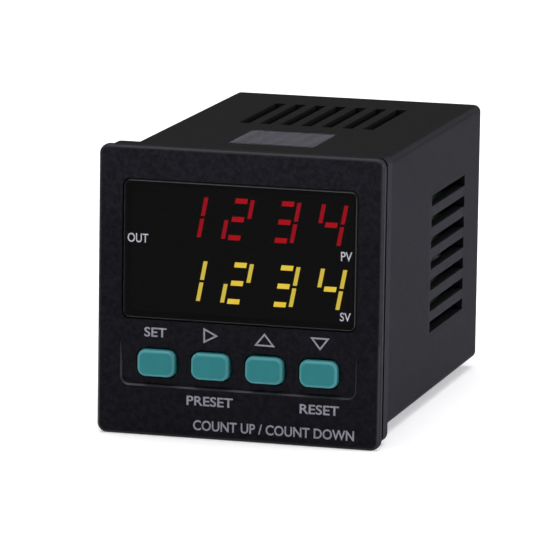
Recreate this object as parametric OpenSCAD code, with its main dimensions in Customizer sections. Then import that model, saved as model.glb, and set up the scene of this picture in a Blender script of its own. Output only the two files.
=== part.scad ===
// Panel counter: a square instrument that is pushed into a panel cut-out from the front.
// The origin is the centre of the cut-out, in the plane where the flange meets the panel.
// +Z is up, the front faces -Y and the housing runs back along +Y. All sizes are in millimetres.

/* [Front bezel] */
// Width and height of the square front
bezel_w = 48; // [47.5:0.5:54]
// Thickness of the bezel's plate
bezel_d = 2.2; // [2.1:0.1:3]
// Depth of the bezel's outer rim
rim_d = 1.6; // [1.2:0.1:2]
// Radius of the bezel's four corners
bezel_corner_r = 1.6; // [1.4:0.1:3]
// Rounding of the bezel's front edges
bezel_edge_r = 0.8; // [0.3:0.1:1]
// Width of the shadow groove between the rim and the flange
joint_gap = 2.4; // [1.6:0.1:2.6]
// Depth of that groove
joint_depth = 1.4; // [0.8:0.1:1.8]
// Wall of the skirt that plugs into the housing
skirt_t = 1.2; // [1:0.1:1.6]
// Gap between the skirt and the housing, each side
skirt_clear = 0.2; // [0.1:0.05:0.3]
// Side of the four square posts that the display board sits on
board_post = 1.6; // [1.2:0.1:1.8]
// Radius of the snap ridges on the skirt
ridge_r = 0.5; // [0.35:0.05:0.6]
// Length of the snap ridges
ridge_l = 16; // [8:1:24]
// Width of the two hooks that hold the display board
hook_w = 6; // [4:0.5:10]
// How far the nose of a hook reaches over the board
hook_nose = 0.6; // [0.4:0.1:1]

/* [Window] */
// Width of the window opening
window_w = 39.7; // [39:0.1:40.4]
// Height of the window opening
window_h = 23.3; // [23:0.1:24]
// Height of the window's centre above the bezel's centre
window_z = 7; // [6.6:0.05:7.2]
// Corner radius of the window opening
window_r = 1.3; // [1.2:0.1:2]
// Chamfer around the window opening
window_chamfer = 0.1; // [0.05:0.05:0.3]
// Width of the ledge that the lens is bonded to
ledge_w = 1.2; // [1.1:0.1:1.6]
// Gap between the lens and the opening, each side
lens_clear = 0.2; // [0.1:0.05:0.4]
// Depth of the lens below the bezel's face
lens_recess = 0.05; // [0.05:0.05:0.5]
// Thickness of the lens
lens_t = 1.3; // [1:0.1:1.4]
// Bevel on the lens's front edges
lens_bevel = 0.2; // [0.1:0.05:0.4]

/* [Keys] */
// Distance between neighbouring keys
key_pitch = 9.15; // [8.8:0.05:9.4]
// Width of a key
key_w = 6.5; // [6:0.1:7]
// Height of a key
key_h = 4.55; // [4.2:0.05:5]
// Corner radius of a key
key_r = 1.5; // [1.1:0.1:1.9]
// Rounding of a key's front edges
key_edge_r = 0.8; // [0.3:0.1:1]
// How far a key stands proud of the bezel's face
key_proud = 0.9; // [0.7:0.1:2]
// Height of the keys' centres, measured down from the bezel's centre
key_drop = 11.75; // [11.5:0.05:12.2]
// Gap between a key and its opening, each side
key_clear = 0.3; // [0.2:0.05:0.4]
// How far the lip behind a key reaches past the key
key_lip_w = 0.65; // [0.5:0.05:0.8]
// Thickness of that lip
key_lip_t = 0.8; // [0.6:0.1:1.2]
// Running gap between the lip and the back of the bezel
key_lip_gap = 0.1; // [0.05:0.05:0.2]
// Length of the stem between the lip and the plunger
key_stem_l = 0.5; // [0.3:0.1:1]
// Diameter of the stem
key_stem_d = 3; // [2:0.1:3.4]
// Travel of a key
key_travel = 0.4; // [0.2:0.05:0.5]

/* [Key recess] */
// Width of the slanted recess around the keys
recess_w = 40; // [38.5:0.1:42]
// Height of the recess's upper edge, where it runs out, below the bezel's centre
recess_top_drop = 8.4; // [8:0.1:8.8]
// Lower edge of the recess, below the bezel's centre
recess_end_drop = 15.75; // [15.4:0.05:16.4]
// Depth of the recess at its lower edge
recess_depth = 0.6; // [0.3:0.05:0.9]
// Run of the slope from the recess's floor up to its edge
recess_lip = 0.6; // [0.3:0.05:0.7]
// Radius of the recess's lower corners, at its floor
recess_r = 0.9; // [0.6:0.1:3]

/* [Displays] */
// Distance between neighbouring digits
digit_pitch = 7.85; // [7.4:0.05:7.9]
// Width of a display module past its digits' own pitch
module_margin = 0; // [0:0.05:0.2]
// Height of a display module
module_h = 10.2; // [9.6:0.1:10.3]
// Depth of a display module, front to board
module_d = 6.1; // [5.8:0.1:8]
// Sideways place of both modules' centres
module_x = 2.98; // [2.4:0.02:3.1]
// Height of the upper module's centre
count_z = 12.44; // [12.2:0.02:12.6]
// Height of the lower module's centre
preset_z = 1.88; // [1.2:0.02:2.1]
// Gap between a module and the back of the bezel
module_gap = 0.1; // [0.05:0.05:0.4]
// Lean of the digits in degrees
digit_slant = 10.5; // [0:0.5:12]
// Distance from a digit's centre to its upper and lower level bars
bar_rise = 3.05; // [2.8:0.05:3.3]
// Distance from a digit's centre to its left and right upright bars
bar_reach = 1.87; // [1.7:0.01:2]
// Length of a level bar
level_bar_l = 2.05; // [1.8:0.05:2.4]
// Length of an upright bar
upright_bar_l = 3.12; // [2.8:0.02:3.2]
// Gap between an upper and a lower upright bar
upright_gap = 0.42; // [0.2:0.02:0.6]
// Thickness of a level bar
level_bar_t = 0.85; // [0.7:0.05:1]
// Thickness of an upright bar
upright_bar_t = 0.7; // [0.6:0.05:0.9]
// Depth of the light bars in the module
bar_d = 0.8; // [0.4:0.1:2]
// Gap between a bar and the module's shell
bar_clear = 0.02; // [0.01:0.01:0.05]
// Diameter of a decimal point
point_d = 0.9; // [0.6:0.1:1]
// Diameter of the output lamp
lamp_d = 3; // [2:0.1:3.2]
// Sideways place of the output lamp
lamp_x = -16; // [-16.4:0.1:-15.6]
// Height of the output lamp
lamp_z = 5.6; // [4:0.1:8]

/* [Switches] */
// Side of a square push switch
switch_w = 6; // [5.5:0.1:6.6]
// Height of a push switch above its board
switch_h = 3.5; // [3:0.1:3.8]
// Diameter of a switch plunger
plunger_d = 3.4; // [3:0.1:4]
// Running gap around a plunger
plunger_clear = 0.08; // [0.05:0.01:0.1]
// Length of a plunger inside its switch
plunger_in = 1.2; // [0.8:0.1:1.6]

/* [Housing] */
// Width of the housing
housing_w = 44.4; // [44:0.1:45]
// Height of the housing
housing_h = 44.8; // [44.4:0.1:45]
// Length of the housing behind the panel seat
housing_l = 69; // [66:1:90]
// Wall of the housing
housing_t = 1.8; // [1.6:0.1:2]
// Wall at the housing's rear
rear_t = 2; // [1.5:0.1:3]
// Radius of the housing's long edges
housing_r = 1.2; // [0.9:0.1:2]
// Rounding of the housing's rear edges
rear_edge_r = 0.8; // [0.3:0.1:0.8]
// Depth of the flange
flange_d = 3; // [2.6:0.1:4]
// Step from the rim's side in to the flange's side
flange_step = 0.4; // [0.2:0.05:0.6]

/* [Vents] */
// Number of slots on each side
vent_count = 7; // [3:2:7]
// Distance between neighbouring slots
vent_pitch = 3.6; // [2.8:0.1:3.8]
// Width of a slot
vent_w = 1.9; // [1:0.1:2.2]
// Length of a slot
vent_l = 23.8; // [16:0.1:26]
// Distance from the housing's rear to the slots
vent_inset = 11.6; // [9:0.1:14]

/* [Clamp teeth] */
// Width of the toothed field that a mounting clamp grips
teeth_w = 14.6; // [10:0.1:18]
// Number of teeth
teeth_count = 12; // [6:1:16]
// Distance between neighbouring teeth
teeth_pitch = 1.2; // [0.9:0.05:1.3]
// Depth of the teeth
teeth_h = 0.5; // [0.3:0.05:0.6]
// Flat left on each tooth's tip
teeth_land = 0.12; // [0.05:0.01:0.3]
// Distance from the panel seat to the first tooth
teeth_start = 11.6; // [8:0.1:14]

/* [Boards] */
// Thickness of every board
board_t = 1.6; // [1.2:0.1:1.8]
// Gap around the display board inside the skirt
board_clear = 0.2; // [0.1:0.05:0.3]
// Distance between the inner faces of the two upright cards
card_gap = 33.2; // [32.4:0.1:33.4]
// Gap between the display board and the upright cards
card_front_gap = 2; // [1.8:0.1:3]
// Gap between a card's ends and the housing
card_clear = 0.3; // [0.2:0.05:0.4]
// Gap between a card and its guide ribs, each side
guide_clear = 0.15; // [0.1:0.05:0.2]
// Width of a guide rib
guide_w = 0.8; // [0.6:0.1:0.8]
// Height of a guide rib
guide_h = 1.2; // [0.8:0.1:1.5]

/* [Terminals] */
// Number of ways in a terminal block
way_count = 6; // [4:1:6]
// Distance between neighbouring ways
way_pitch = 5.08; // [5:0.01:5.2]
// Width of a terminal block, measured from its card
block_w = 11; // [10.6:0.1:12]
// Depth of a terminal block
block_d = 18; // [17:0.1:20]
// How far a terminal block stands out behind the housing
block_proud = 6; // [4:0.1:7]
// Wall at the two ends of a terminal block
block_end_t = 0.6; // [0.4:0.1:1]
// Gap between a terminal block and its window in the housing
block_clear = 0.25; // [0.15:0.05:0.3]
// Diameter of a screwdriver hole
driver_d = 3.6; // [3.4:0.1:3.8]
// Distance from a card to the screwdriver holes' centres
driver_in = 3.6; // [3.2:0.1:4]
// Depth of a screw head below the block's rear face
screw_sunk = 2.5; // [1.5:0.1:4]
// Diameter of a terminal screw's head
screw_head_d = 3.2; // [2.8:0.1:3.3]
// Height of a terminal screw's head
screw_head_h = 1.8; // [1.2:0.1:2.2]
// Diameter of a terminal screw's shank
screw_shank_d = 2.2; // [1.6:0.1:2.4]
// Width and height of a wire entry
entry_w = 2.8; // [2.2:0.1:3]
// Distance from a card to the wire entries' centres
entry_in = 8.4; // [8.2:0.1:8.8]
// Height of a clamp along the column of ways
clamp_h = 3.6; // [3.4:0.1:3.8]
// Depth of a clamp
clamp_d = 6; // [5:0.1:7]
// Gap between a clamp and its cavity
clamp_clear = 0.15; // [0.1:0.05:0.2]
// Thickness of a clamp's solder tail
tail_t = 0.8; // [0.6:0.1:1]

/* [Transformer] */
// Length of the core up the card
core_l = 28; // [26:0.5:32]
// Height of the core above the card
core_h = 20; // [18:0.5:21]
// Stack of laminations
core_stack = 13; // [11:0.5:14]
// Width of the core's middle leg
core_leg = 8; // [7:0.5:9]
// Width of the core's outer legs and yokes
core_yoke = 4; // [3.5:0.5:4.5]
// Gap between the core and the bobbin
core_clear = 0.15; // [0.1:0.05:0.25]
// Wall of the bobbin
bobbin_t = 0.8; // [0.6:0.1:1]
// Thickness of the winding
winding_t = 4; // [3:0.1:4.2]
// Distance from the cards' front edges to the winding
transformer_inset = 4; // [3:0.5:5]

/* [Parts on the cards] */
// Diameter of the larger capacitor
capacitor_d = 10; // [8:0.5:11]
// Height of the larger capacitor
capacitor_h = 15; // [12:0.5:15]
// Size ratio of the smaller capacitor to the larger
small_capacitor_ratio = 0.8; // [0.6:0.05:0.9]
// Gap between the winding and the parts behind it
parts_gap = 3; // [2:0.25:4]
// Length of the relay up the card
relay_l = 19; // [17:0.5:20]
// Depth of the relay
relay_d = 13.4; // [12:0.1:13.6]
// Height of the relay above the card
relay_h = 15.2; // [14:0.1:15.4]
// Length of the microcontroller
chip_l = 17.9; // [14:0.1:20]
// Width of the microcontroller
chip_w = 7.5; // [6:0.1:8]
// Height of the microcontroller
chip_h = 2.3; // [1.8:0.1:2.8]
// Leads on each side of the microcontroller
chip_leads = 14; // [10:1:14]
// Distance between those leads
lead_pitch = 1.27; // [1:0.01:1.27]
// Distance from the cards' front edges to the microcontroller
chip_inset = 6; // [5:0.5:10]
// Width of one of those leads
lead_w = 0.4; // [0.3:0.05:0.5]
// Reach of a lead past the microcontroller
lead_reach = 1.4; // [1.2:0.1:2]
// Length of an optocoupler
opto_l = 6.5; // [5:0.1:7]
// Width of an optocoupler
opto_w = 4.6; // [4:0.1:5]
// Height of an optocoupler
opto_h = 3.5; // [2.5:0.1:4.5]
// Length of the bridge rectifier
bridge_l = 6.4; // [5:0.1:8]
// Width of the bridge rectifier
bridge_w = 5; // [4:0.1:6]
// Height of the bridge rectifier
bridge_h = 3.2; // [2.4:0.1:5]
// Length of the regulator's tab
regulator_l = 9; // [8:0.1:10]
// Width of the regulator
regulator_w = 6.4; // [5:0.1:7]
// Height of the regulator
regulator_h = 2.3; // [1.8:0.1:3]
// Ways in each header between a card and the display board
header_ways = 10; // [6:1:12]
// Distance between header pins
header_pitch = 2.54; // [2:0.01:2.54]
// Side of a header strip
header_w = 2.5; // [2.2:0.1:2.8]
// Side of a square header pin
pin_w = 0.64; // [0.5:0.02:0.8]

/* [Hidden] */
$fn = 48;

// Overshoot that keeps cuts clear of the faces they pass through
cut = 1;

// Depths along Y
front_y = -(rim_d + joint_gap + flange_d);
bezel_back_y = front_y + bezel_d;
module_front_y = bezel_back_y + module_gap;
display_board_y = module_front_y + module_d;
display_board_back_y = display_board_y + board_t;
hook_gap = 0.05;
hook_l = 1.4;
skirt_end_y = display_board_back_y + hook_gap;
hook_end_y = skirt_end_y + hook_l;
ridge_y = (bezel_back_y + skirt_end_y) / 2;
card_y = display_board_back_y + card_front_gap;
card_end_y = housing_l - rear_t - card_clear;
block_end_y = housing_l + block_proud;
block_y = block_end_y - block_d;

// Outlines across the body
cavity_w = housing_w - 2 * housing_t;
cavity_h = housing_h - 2 * housing_t;
flange_w = bezel_w - 2 * flange_step;
seat_w = flange_w - 2 * joint_depth;
skirt_w = cavity_w - 2 * skirt_clear;
skirt_h = cavity_h - 2 * skirt_clear;
skirt_in_w = skirt_w - 2 * skirt_t;
skirt_in_h = skirt_h - 2 * skirt_t;
display_board_w = skirt_in_w - 2 * board_clear;
display_board_h = skirt_in_h - 2 * board_clear;
lens_w = window_w - 2 * lens_clear;
lens_h = window_h - 2 * lens_clear;
card_h = cavity_h - 2 * card_clear;
card_x = card_gap / 2;

// Keys and switches
key_xs = [for (i = [-1.5 : 1.5]) i * key_pitch];
key_lip_y = bezel_back_y + key_lip_gap;
plunger_y = key_lip_y + key_lip_t + key_stem_l;
switch_y = display_board_y - switch_h;
plunger_spare = 0.1;
plunger_room = key_travel + plunger_spare;

// Displays
digits = 4;
module_w = digits * digit_pitch + 2 * module_margin;
upright_rise = (upright_gap + upright_bar_l) / 2;
all_bars = "abcdefg";
shown_bars = ["bc", "abdeg", "abcdg", "bcfg"];

// Terminal blocks
block_h = way_count * way_pitch + 2 * block_end_t;
clamp_out = driver_in - driver_d / 2 + clamp_clear;
clamp_in = entry_in + entry_w / 2 + clamp_clear;
clamp_w = clamp_in - clamp_out;
screw_head_y = block_end_y - screw_sunk;
tail_inset = 2 * tail_t;
tail_y = block_y - tail_inset;
way_zs = [for (i = [0 : way_count - 1]) (i - (way_count - 1) / 2) * way_pitch];

// Parts on the cards
coil_grow = core_clear + bobbin_t + winding_t;
winding_d = core_stack + 2 * coil_grow;
winding_l = core_leg + 2 * coil_grow;
core_y = card_y + transformer_inset + coil_grow + core_stack / 2;
parts_y = core_y + winding_d / 2 + parts_gap;
header_zs = [for (i = [0 : header_ways - 1]) (i - (header_ways - 1) / 2) * header_pitch];
header_x = card_x - header_w / 2;
pin_clear = 0.1;
pin_hole_w = pin_w + 2 * pin_clear;

// Turns local +Z to the front, with local +Y upright
module facing_front(y) {
    translate([0, y, 0])
        rotate([90, 0, 0])
            children();
}

// Turns local +Z to the rear
module facing_rear(y) {
    translate([0, y, 0])
        rotate([-90, 0, 0])
            children();
}

// Stands children on the left card: local +X runs to the rear, +Y up and +Z inwards
module on_left_card() {
    translate([-card_x, 0, 0])
        rotate([90, 0, 90])
            children();
}

// The same on the right card, mirrored
module on_right_card() {
    mirror([1, 0, 0])
        on_left_card()
            children();
}

module round_rect(w, h, r) {
    square([w - 2 * r, h], center = true);
    square([w, h - 2 * r], center = true);
    for (x = [-1, 1], y = [-1, 1])
        translate([x * (w / 2 - r), y * (h / 2 - r)])
            circle(r);
}

module round_slab(w, h, r, d) {
    linear_extrude(d)
        round_rect(w, h, r);
}

// Half of a section with one rounded shoulder
module shoulder_half(reach, d, e) {
    square([reach, d - e]);
    square([reach - e, d]);
    translate([reach - e, d - e])
        intersection() {
            circle(e);
            square(e);
        }
}

module shoulder_section(w, d, e) {
    shoulder_half(w / 2, d, e);
    mirror([1, 0])
        shoulder_half(w / 2, d, e);
}

// Slab with round corners and a rounded upper edge
module soft_slab(w, h, r, d, e) {
    translate([-(w / 2 - r), 0, 0])
        rotate([90, 0, 90])
            linear_extrude(w - 2 * r)
                shoulder_section(h, d, e);
    translate([0, h / 2 - r, 0])
        rotate([90, 0, 0])
            linear_extrude(h - 2 * r)
                shoulder_section(w, d, e);
    for (x = [-1, 1], y = [-1, 1])
        translate([x * (w / 2 - r), y * (h / 2 - r), 0])
            rotate_extrude()
                shoulder_half(r, d, e);
}

module flare_section(w, d, grow) {
    polygon([[-w / 2, 0], [w / 2, 0], [w / 2 + grow, d], [-w / 2 - grow, d]]);
}

// Slab with round corners whose sides lean out by grow over its depth
module flared_slab(w, h, r, d, grow) {
    translate([-(w / 2 - r), 0, 0])
        rotate([90, 0, 90])
            linear_extrude(w - 2 * r)
                flare_section(h, d, grow);
    translate([0, h / 2 - r, 0])
        rotate([90, 0, 0])
            linear_extrude(h - 2 * r)
                flare_section(w, d, grow);
    for (x = [-1, 1], y = [-1, 1])
        translate([x * (w / 2 - r), y * (h / 2 - r), 0])
            cylinder(h = d, r1 = r, r2 = r + grow);
}

// A row of vent slots through one wall, drawn on the local XY plane with the slots along X
module vent_row() {
    for (i = [0 : vent_count - 1])
        translate([0, (i - (vent_count - 1) / 2) * vent_pitch - vent_w / 2, -cut])
            cube([vent_l, vent_w, housing_t + 2 * cut]);
}

// Grooves between the clamp teeth, sunk from the local plane z = 0, running along X
module clamp_teeth() {
    for (i = [0 : teeth_count - 1])
        translate([-teeth_w / 2, teeth_start + i * teeth_pitch, 0])
            rotate([90, 0, 90])
                linear_extrude(teeth_w)
                    polygon([
                        [teeth_land / 2, 0],
                        [teeth_land / 2, cut],
                        [teeth_pitch - teeth_land / 2, cut],
                        [teeth_pitch - teeth_land / 2, 0],
                        [teeth_pitch / 2, -teeth_h]
                    ]);
}

// Two ribs on the cavity's roof that hold one card between them
module card_guide(wall_z) {
    for (side = [-1, 1])
        translate([
            side * (board_t / 2 + guide_clear + guide_w / 2) - guide_w / 2,
            card_y,
            wall_z - guide_h
        ])
            cube([guide_w, housing_l - rear_t - card_y, guide_h]);
}

// Snap ridges along the top and bottom of the skirt, or the grooves that they click into
module snap_ridges(r, l) {
    for (z = [-1, 1])
        translate([-l / 2, ridge_y, z * skirt_h / 2])
            rotate([0, 90, 0])
                cylinder(h = l, r = r);
}

module housing() {
    groove_clear = 0.15;
    vent_y = housing_l - vent_inset - vent_l;
    color("#33333a")
    union() {
        difference() {
            union() {
                facing_front(0)
                    round_slab(flange_w, flange_w, bezel_corner_r - flange_step / 2, flange_d);
                facing_rear(-flange_d / 2)
                    soft_slab(housing_w, housing_h, housing_r, housing_l + flange_d / 2, rear_edge_r);
            }
            translate([-cavity_w / 2, -flange_d - cut, -cavity_h / 2])
                cube([cavity_w, flange_d + cut + housing_l - rear_t, cavity_h]);
            snap_ridges(ridge_r + groove_clear, ridge_l + 2 * groove_clear);
            for (side = [0, 1])
                mirror([0, 0, side]) {
                    translate([0, vent_y, housing_h / 2 - housing_t])
                        rotate([0, 0, 90])
                            vent_row();
                    translate([0, 0, housing_h / 2])
                        clamp_teeth();
                }
            for (side = [0, 1])
                mirror([side, 0, 0]) {
                    translate([housing_w / 2 - housing_t, vent_y, 0])
                        rotate([90, 0, 90])
                            vent_row();
                    translate([
                        -card_x - block_clear,
                        housing_l - rear_t - cut,
                        -block_h / 2 - block_clear
                    ])
                        cube([block_w + 2 * block_clear, rear_t + 2 * cut, block_h + 2 * block_clear]);
                }
        }
        for (side = [-1, 1], flip = [0, 1])
            translate([side * (card_x + board_t / 2), 0, 0])
                mirror([0, 0, flip])
                    card_guide(cavity_h / 2);
    }
}

// The slanted recess: nothing deep at its top, recess_depth deep at its lower edge
module key_recess() {
    recess_h = recess_end_drop - recess_top_drop;
    wall_h = recess_depth + cut;
    wall_lean = recess_lip * wall_h / recess_depth;
    side_l = recess_w + 2 * wall_lean;
    intersection() {
        translate([-side_l / 2, 0, 0])
            rotate([90, 0, 90])
                linear_extrude(side_l)
                    polygon([
                        [-recess_top_drop, 0],
                        [-recess_top_drop, cut],
                        [-recess_end_drop - wall_lean, cut],
                        [-recess_end_drop - wall_lean, -recess_depth],
                        [-recess_end_drop, -recess_depth]
                    ]);
        translate([0, -recess_top_drop, -recess_depth])
            flared_slab(
                recess_w - 2 * recess_lip,
                2 * (recess_h - recess_lip),
                recess_r,
                wall_h,
                wall_lean
            );
    }
}

// The opening for the lens, its ledge and its chamfer, cut from the bezel's face
module window_cut() {
    pocket_d = lens_recess + lens_t;
    translate([0, window_z, 0]) {
        translate([0, 0, -pocket_d])
            round_slab(window_w, window_h, window_r, pocket_d + cut);
        translate([0, 0, -bezel_d - cut])
            round_slab(window_w - 2 * ledge_w, window_h - 2 * ledge_w, window_r, bezel_d + cut);
        translate([0, 0, -window_chamfer])
            flared_slab(window_w, window_h, window_r, window_chamfer, window_chamfer);
    }
}

// One arm with a nose that holds the display board from behind
module board_hook() {
    translate([0, 0, -hook_w / 2])
        linear_extrude(hook_w)
            polygon([
                [skirt_w / 2, skirt_end_y - skirt_t],
                [skirt_w / 2, hook_end_y],
                [skirt_in_w / 2, hook_end_y],
                [skirt_in_w / 2 - hook_nose, skirt_end_y],
                [skirt_in_w / 2, skirt_end_y],
                [skirt_in_w / 2, skirt_end_y - skirt_t]
            ]);
}

module front_bezel() {
    skirt_root = 0.6;
    post_reach = 0.4;
    skirt_l = skirt_end_y - bezel_back_y;
    seat_l = -flange_d - bezel_back_y;
    color("#1b1b21")
    union() {
        facing_front(bezel_back_y)
            difference() {
                union() {
                    translate([0, 0, bezel_d - rim_d])
                        soft_slab(bezel_w, bezel_w, bezel_corner_r, rim_d, bezel_edge_r);
                    round_slab(seat_w, seat_w, bezel_corner_r, bezel_d - rim_d / 2);
                }
                translate([0, 0, bezel_d]) {
                    window_cut();
                    key_recess();
                }
                for (x = key_xs)
                    translate([x, -key_drop, -cut])
                        round_slab(
                            key_w + 2 * key_clear,
                            key_h + 2 * key_clear,
                            key_r + key_clear,
                            bezel_d + 2 * cut
                        );
            }
        facing_rear(bezel_back_y - skirt_root)
            difference() {
                union() {
                    round_slab(seat_w, seat_w, bezel_corner_r, seat_l + skirt_root);
                    round_slab(skirt_w, skirt_h, skirt_t / 2, skirt_l + skirt_root);
                }
                translate([-skirt_in_w / 2, -skirt_in_h / 2, -cut])
                    cube([skirt_in_w, skirt_in_h, skirt_l + skirt_root + 2 * cut]);
            }
        for (x = [-1, 1], z = [-1, 1])
            translate([
                x * (skirt_in_w / 2 - (board_post - post_reach) / 2),
                bezel_back_y,
                z * (skirt_in_h / 2 - (board_post - post_reach) / 2)
            ])
                translate([-board_post / 2, -skirt_root, -board_post / 2])
                    cube([board_post, display_board_y - bezel_back_y + skirt_root, board_post]);
        for (side = [0, 1])
            mirror([side, 0, 0])
                board_hook();
        intersection() {
            snap_ridges(ridge_r, ridge_l);
            difference() {
                cube([cavity_w, housing_l, housing_h], center = true);
                cube([cavity_w + cut, housing_l + cut, skirt_h - skirt_t], center = true);
            }
        }
    }
}

// The lens: a plate whose front edges are cut off by a slab that leans in to the front
module display_lens() {
    lens_r = window_r - lens_clear;
    side_t = lens_t - lens_bevel;
    color("#18100f", 0.55)
        facing_front(front_y + lens_recess + lens_t)
            translate([0, window_z, 0])
                intersection() {
                    translate([0, 0, -cut])
                        round_slab(lens_w, lens_h, lens_r, lens_t + 2 * cut);
                    flared_slab(
                        lens_w + 2 * side_t,
                        lens_h + 2 * side_t,
                        lens_r + side_t,
                        lens_t,
                        -lens_t
                    );
                }
}

// A key cap: soft-edged button, a lip that keeps it behind the bezel, and a stem
module key_cap(i) {
    lip_w = key_w + 2 * key_clear + 2 * key_lip_w;
    lip_h = key_h + 2 * key_clear + 2 * key_lip_w;
    color("#2e8388")
        translate([key_xs[i], 0, -key_drop]) {
            facing_front(key_lip_y)
                soft_slab(key_w, key_h, key_r, key_lip_y - front_y + key_proud, key_edge_r);
            facing_rear(key_lip_y)
                round_slab(lip_w, lip_h, key_r, key_lip_t);
            facing_rear(key_lip_y)
                cylinder(h = key_lip_t + key_stem_l, d = key_stem_d);
        }
}

module set_key() { key_cap(0); }
module shift_key() { key_cap(1); }
module up_key() { key_cap(2); }
module down_key() { key_cap(3); }

module plunger(i) {
    color("#d8d4c8")
        translate([key_xs[i], 0, -key_drop])
            facing_rear(plunger_y)
                cylinder(h = switch_y - plunger_y + plunger_in, d = plunger_d);
}

module set_plunger() { plunger(0); }
module shift_plunger() { plunger(1); }
module up_plunger() { plunger(2); }
module down_plunger() { plunger(3); }

module tact_switches() {
    corner_r = 0.5;
    color("#26262a")
        for (x = key_xs)
            translate([x, 0, -key_drop])
                facing_front(display_board_y)
                    difference() {
                        round_slab(switch_w, switch_w, corner_r, switch_h);
                        translate([0, 0, switch_h - plunger_in - plunger_room])
                            cylinder(
                                h = plunger_in + plunger_room + cut,
                                d = plunger_d + 2 * plunger_clear
                            );
                    }
}

module display_board() {
    color("#1f5a35")
        difference() {
            translate([-display_board_w / 2, display_board_y, -display_board_h / 2])
                cube([display_board_w, board_t, display_board_h]);
            for (side = [-1, 1], z = header_zs)
                translate([
                    side * header_x - pin_hole_w / 2,
                    display_board_y - cut,
                    z - pin_hole_w / 2
                ])
                    cube([pin_hole_w, board_t + 2 * cut, pin_hole_w]);
        }
}

// A point of a digit, leaning with the digit's slant
function lean(x, z) = [x + z * tan(digit_slant), z];

function bar_centre(bar) =
    bar == "a" ? [0, bar_rise] :
    bar == "b" ? [bar_reach, upright_rise] :
    bar == "c" ? [bar_reach, -upright_rise] :
    bar == "d" ? [0, -bar_rise] :
    bar == "e" ? [-bar_reach, -upright_rise] :
    bar == "f" ? [-bar_reach, upright_rise] :
    [0, 0];

function is_level(bar) = bar == "a" || bar == "d" || bar == "g";

// One bar's outline; trim takes the gap to the shell off every side
module bar_outline(bar, trim) {
    centre = bar_centre(bar);
    half_x = (is_level(bar) ? level_bar_l : upright_bar_t) / 2 - trim;
    half_z = (is_level(bar) ? level_bar_t : upright_bar_l) / 2 - trim;
    polygon([
        lean(centre[0] - half_x, centre[1] - half_z),
        lean(centre[0] + half_x, centre[1] - half_z),
        lean(centre[0] + half_x, centre[1] + half_z),
        lean(centre[0] - half_x, centre[1] + half_z)
    ]);
}

module point_outline(trim) {
    point_inset = 0.3;
    translate([digit_pitch / 2 - point_d / 2 - point_inset, -bar_rise])
        circle(d = point_d - 2 * trim);
}

function has_bar(digit, bar) = len(search(bar, shown_bars[digit])) > 0;

// The bars of one row; which is "lit", "dark" or "all"
module bar_row(which, trim, depth) {
    for (digit = [0 : digits - 1])
        translate([(digit - (digits - 1) / 2) * digit_pitch, 0, -bar_d]) {
            for (bar = all_bars)
                if (which == "all" || has_bar(digit, bar) == (which == "lit"))
                    linear_extrude(depth)
                        bar_outline(bar, trim);
            if (which != "lit")
                linear_extrude(depth)
                    point_outline(trim);
        }
}

module display_shell(z) {
    color("#111114")
        translate([module_x, 0, z])
            facing_front(module_front_y)
                difference() {
                    translate([-module_w / 2, -module_h / 2, -module_d])
                        cube([module_w, module_h, module_d]);
                    bar_row("all", 0, bar_d + cut);
                }
}

module display_bars(z, which, tint) {
    color(tint)
        translate([module_x, 0, z])
            facing_front(module_front_y)
                bar_row(which, bar_clear, bar_d);
}

module count_display() { display_shell(count_z); }
module count_lit_bars() { display_bars(count_z, "lit", "#e01822"); }
module count_dark_bars() { display_bars(count_z, "dark", "#2a1214"); }
module preset_display() { display_shell(preset_z); }
module preset_lit_bars() { display_bars(preset_z, "lit", "#ffd030"); }
module preset_dark_bars() { display_bars(preset_z, "dark", "#2a2412"); }

// A domed lamp standing on the display board
module output_lamp() {
    base_grow = 0.4;
    base_h = 1;
    dome_y = bezel_back_y + module_gap;
    barrel_l = display_board_y - dome_y - lamp_d / 2;
    color("#7a1f22")
        translate([lamp_x, 0, lamp_z])
            facing_front(display_board_y)
                rotate_extrude() {
                    square([lamp_d / 2 + base_grow, base_h]);
                    square([lamp_d / 2, barrel_l]);
                    translate([0, barrel_l])
                        intersection() {
                            circle(d = lamp_d);
                            square(lamp_d);
                        }
                }
}

// One upright card, drawn on the left, with holes for the header pins and the terminal tails
module card() {
    tail_clear = 0.15;
    tail_hole = tail_t + 2 * tail_clear;
    color("#1f5a35")
        on_left_card()
            translate([0, 0, -board_t])
                difference() {
                    translate([card_y, -card_h / 2, 0])
                        cube([card_end_y - card_y, card_h, board_t]);
                    for (z = header_zs)
                        translate([card_y + header_w + pin_w, z, board_t / 2])
                            cube([pin_hole_w, pin_hole_w, board_t + 2 * cut], center = true);
                    for (z = way_zs)
                        translate([tail_y, z, board_t / 2])
                            cube([tail_hole, tail_hole, board_t + 2 * cut], center = true);
                }
}

module power_board() { card(); }

module logic_board() {
    mirror([1, 0, 0])
        card();
}

module transformer_core() {
    window_l = (core_l - core_leg - 2 * core_yoke) / 2;
    color("#6a6a70")
        on_left_card()
            translate([core_y, 0, 0])
                difference() {
                    translate([-core_stack / 2, -core_l / 2, 0])
                        cube([core_stack, core_l, core_h]);
                    for (side = [0, 1])
                        mirror([0, side, 0])
                            translate([-core_stack / 2 - cut, core_leg / 2, core_yoke])
                                cube([core_stack + 2 * cut, window_l, core_h - 2 * core_yoke]);
                }
}

// Ring around the core's middle leg, grown outwards from inner to outer
module leg_ring(inner, outer, h) {
    ring_r = 0.5;
    difference() {
        round_slab(core_stack + 2 * outer, core_leg + 2 * outer, ring_r, h);
        translate([-core_stack / 2 - inner, -core_leg / 2 - inner, -cut])
            cube([core_stack + 2 * inner, core_leg + 2 * inner, h + 2 * cut]);
    }
}

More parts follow.
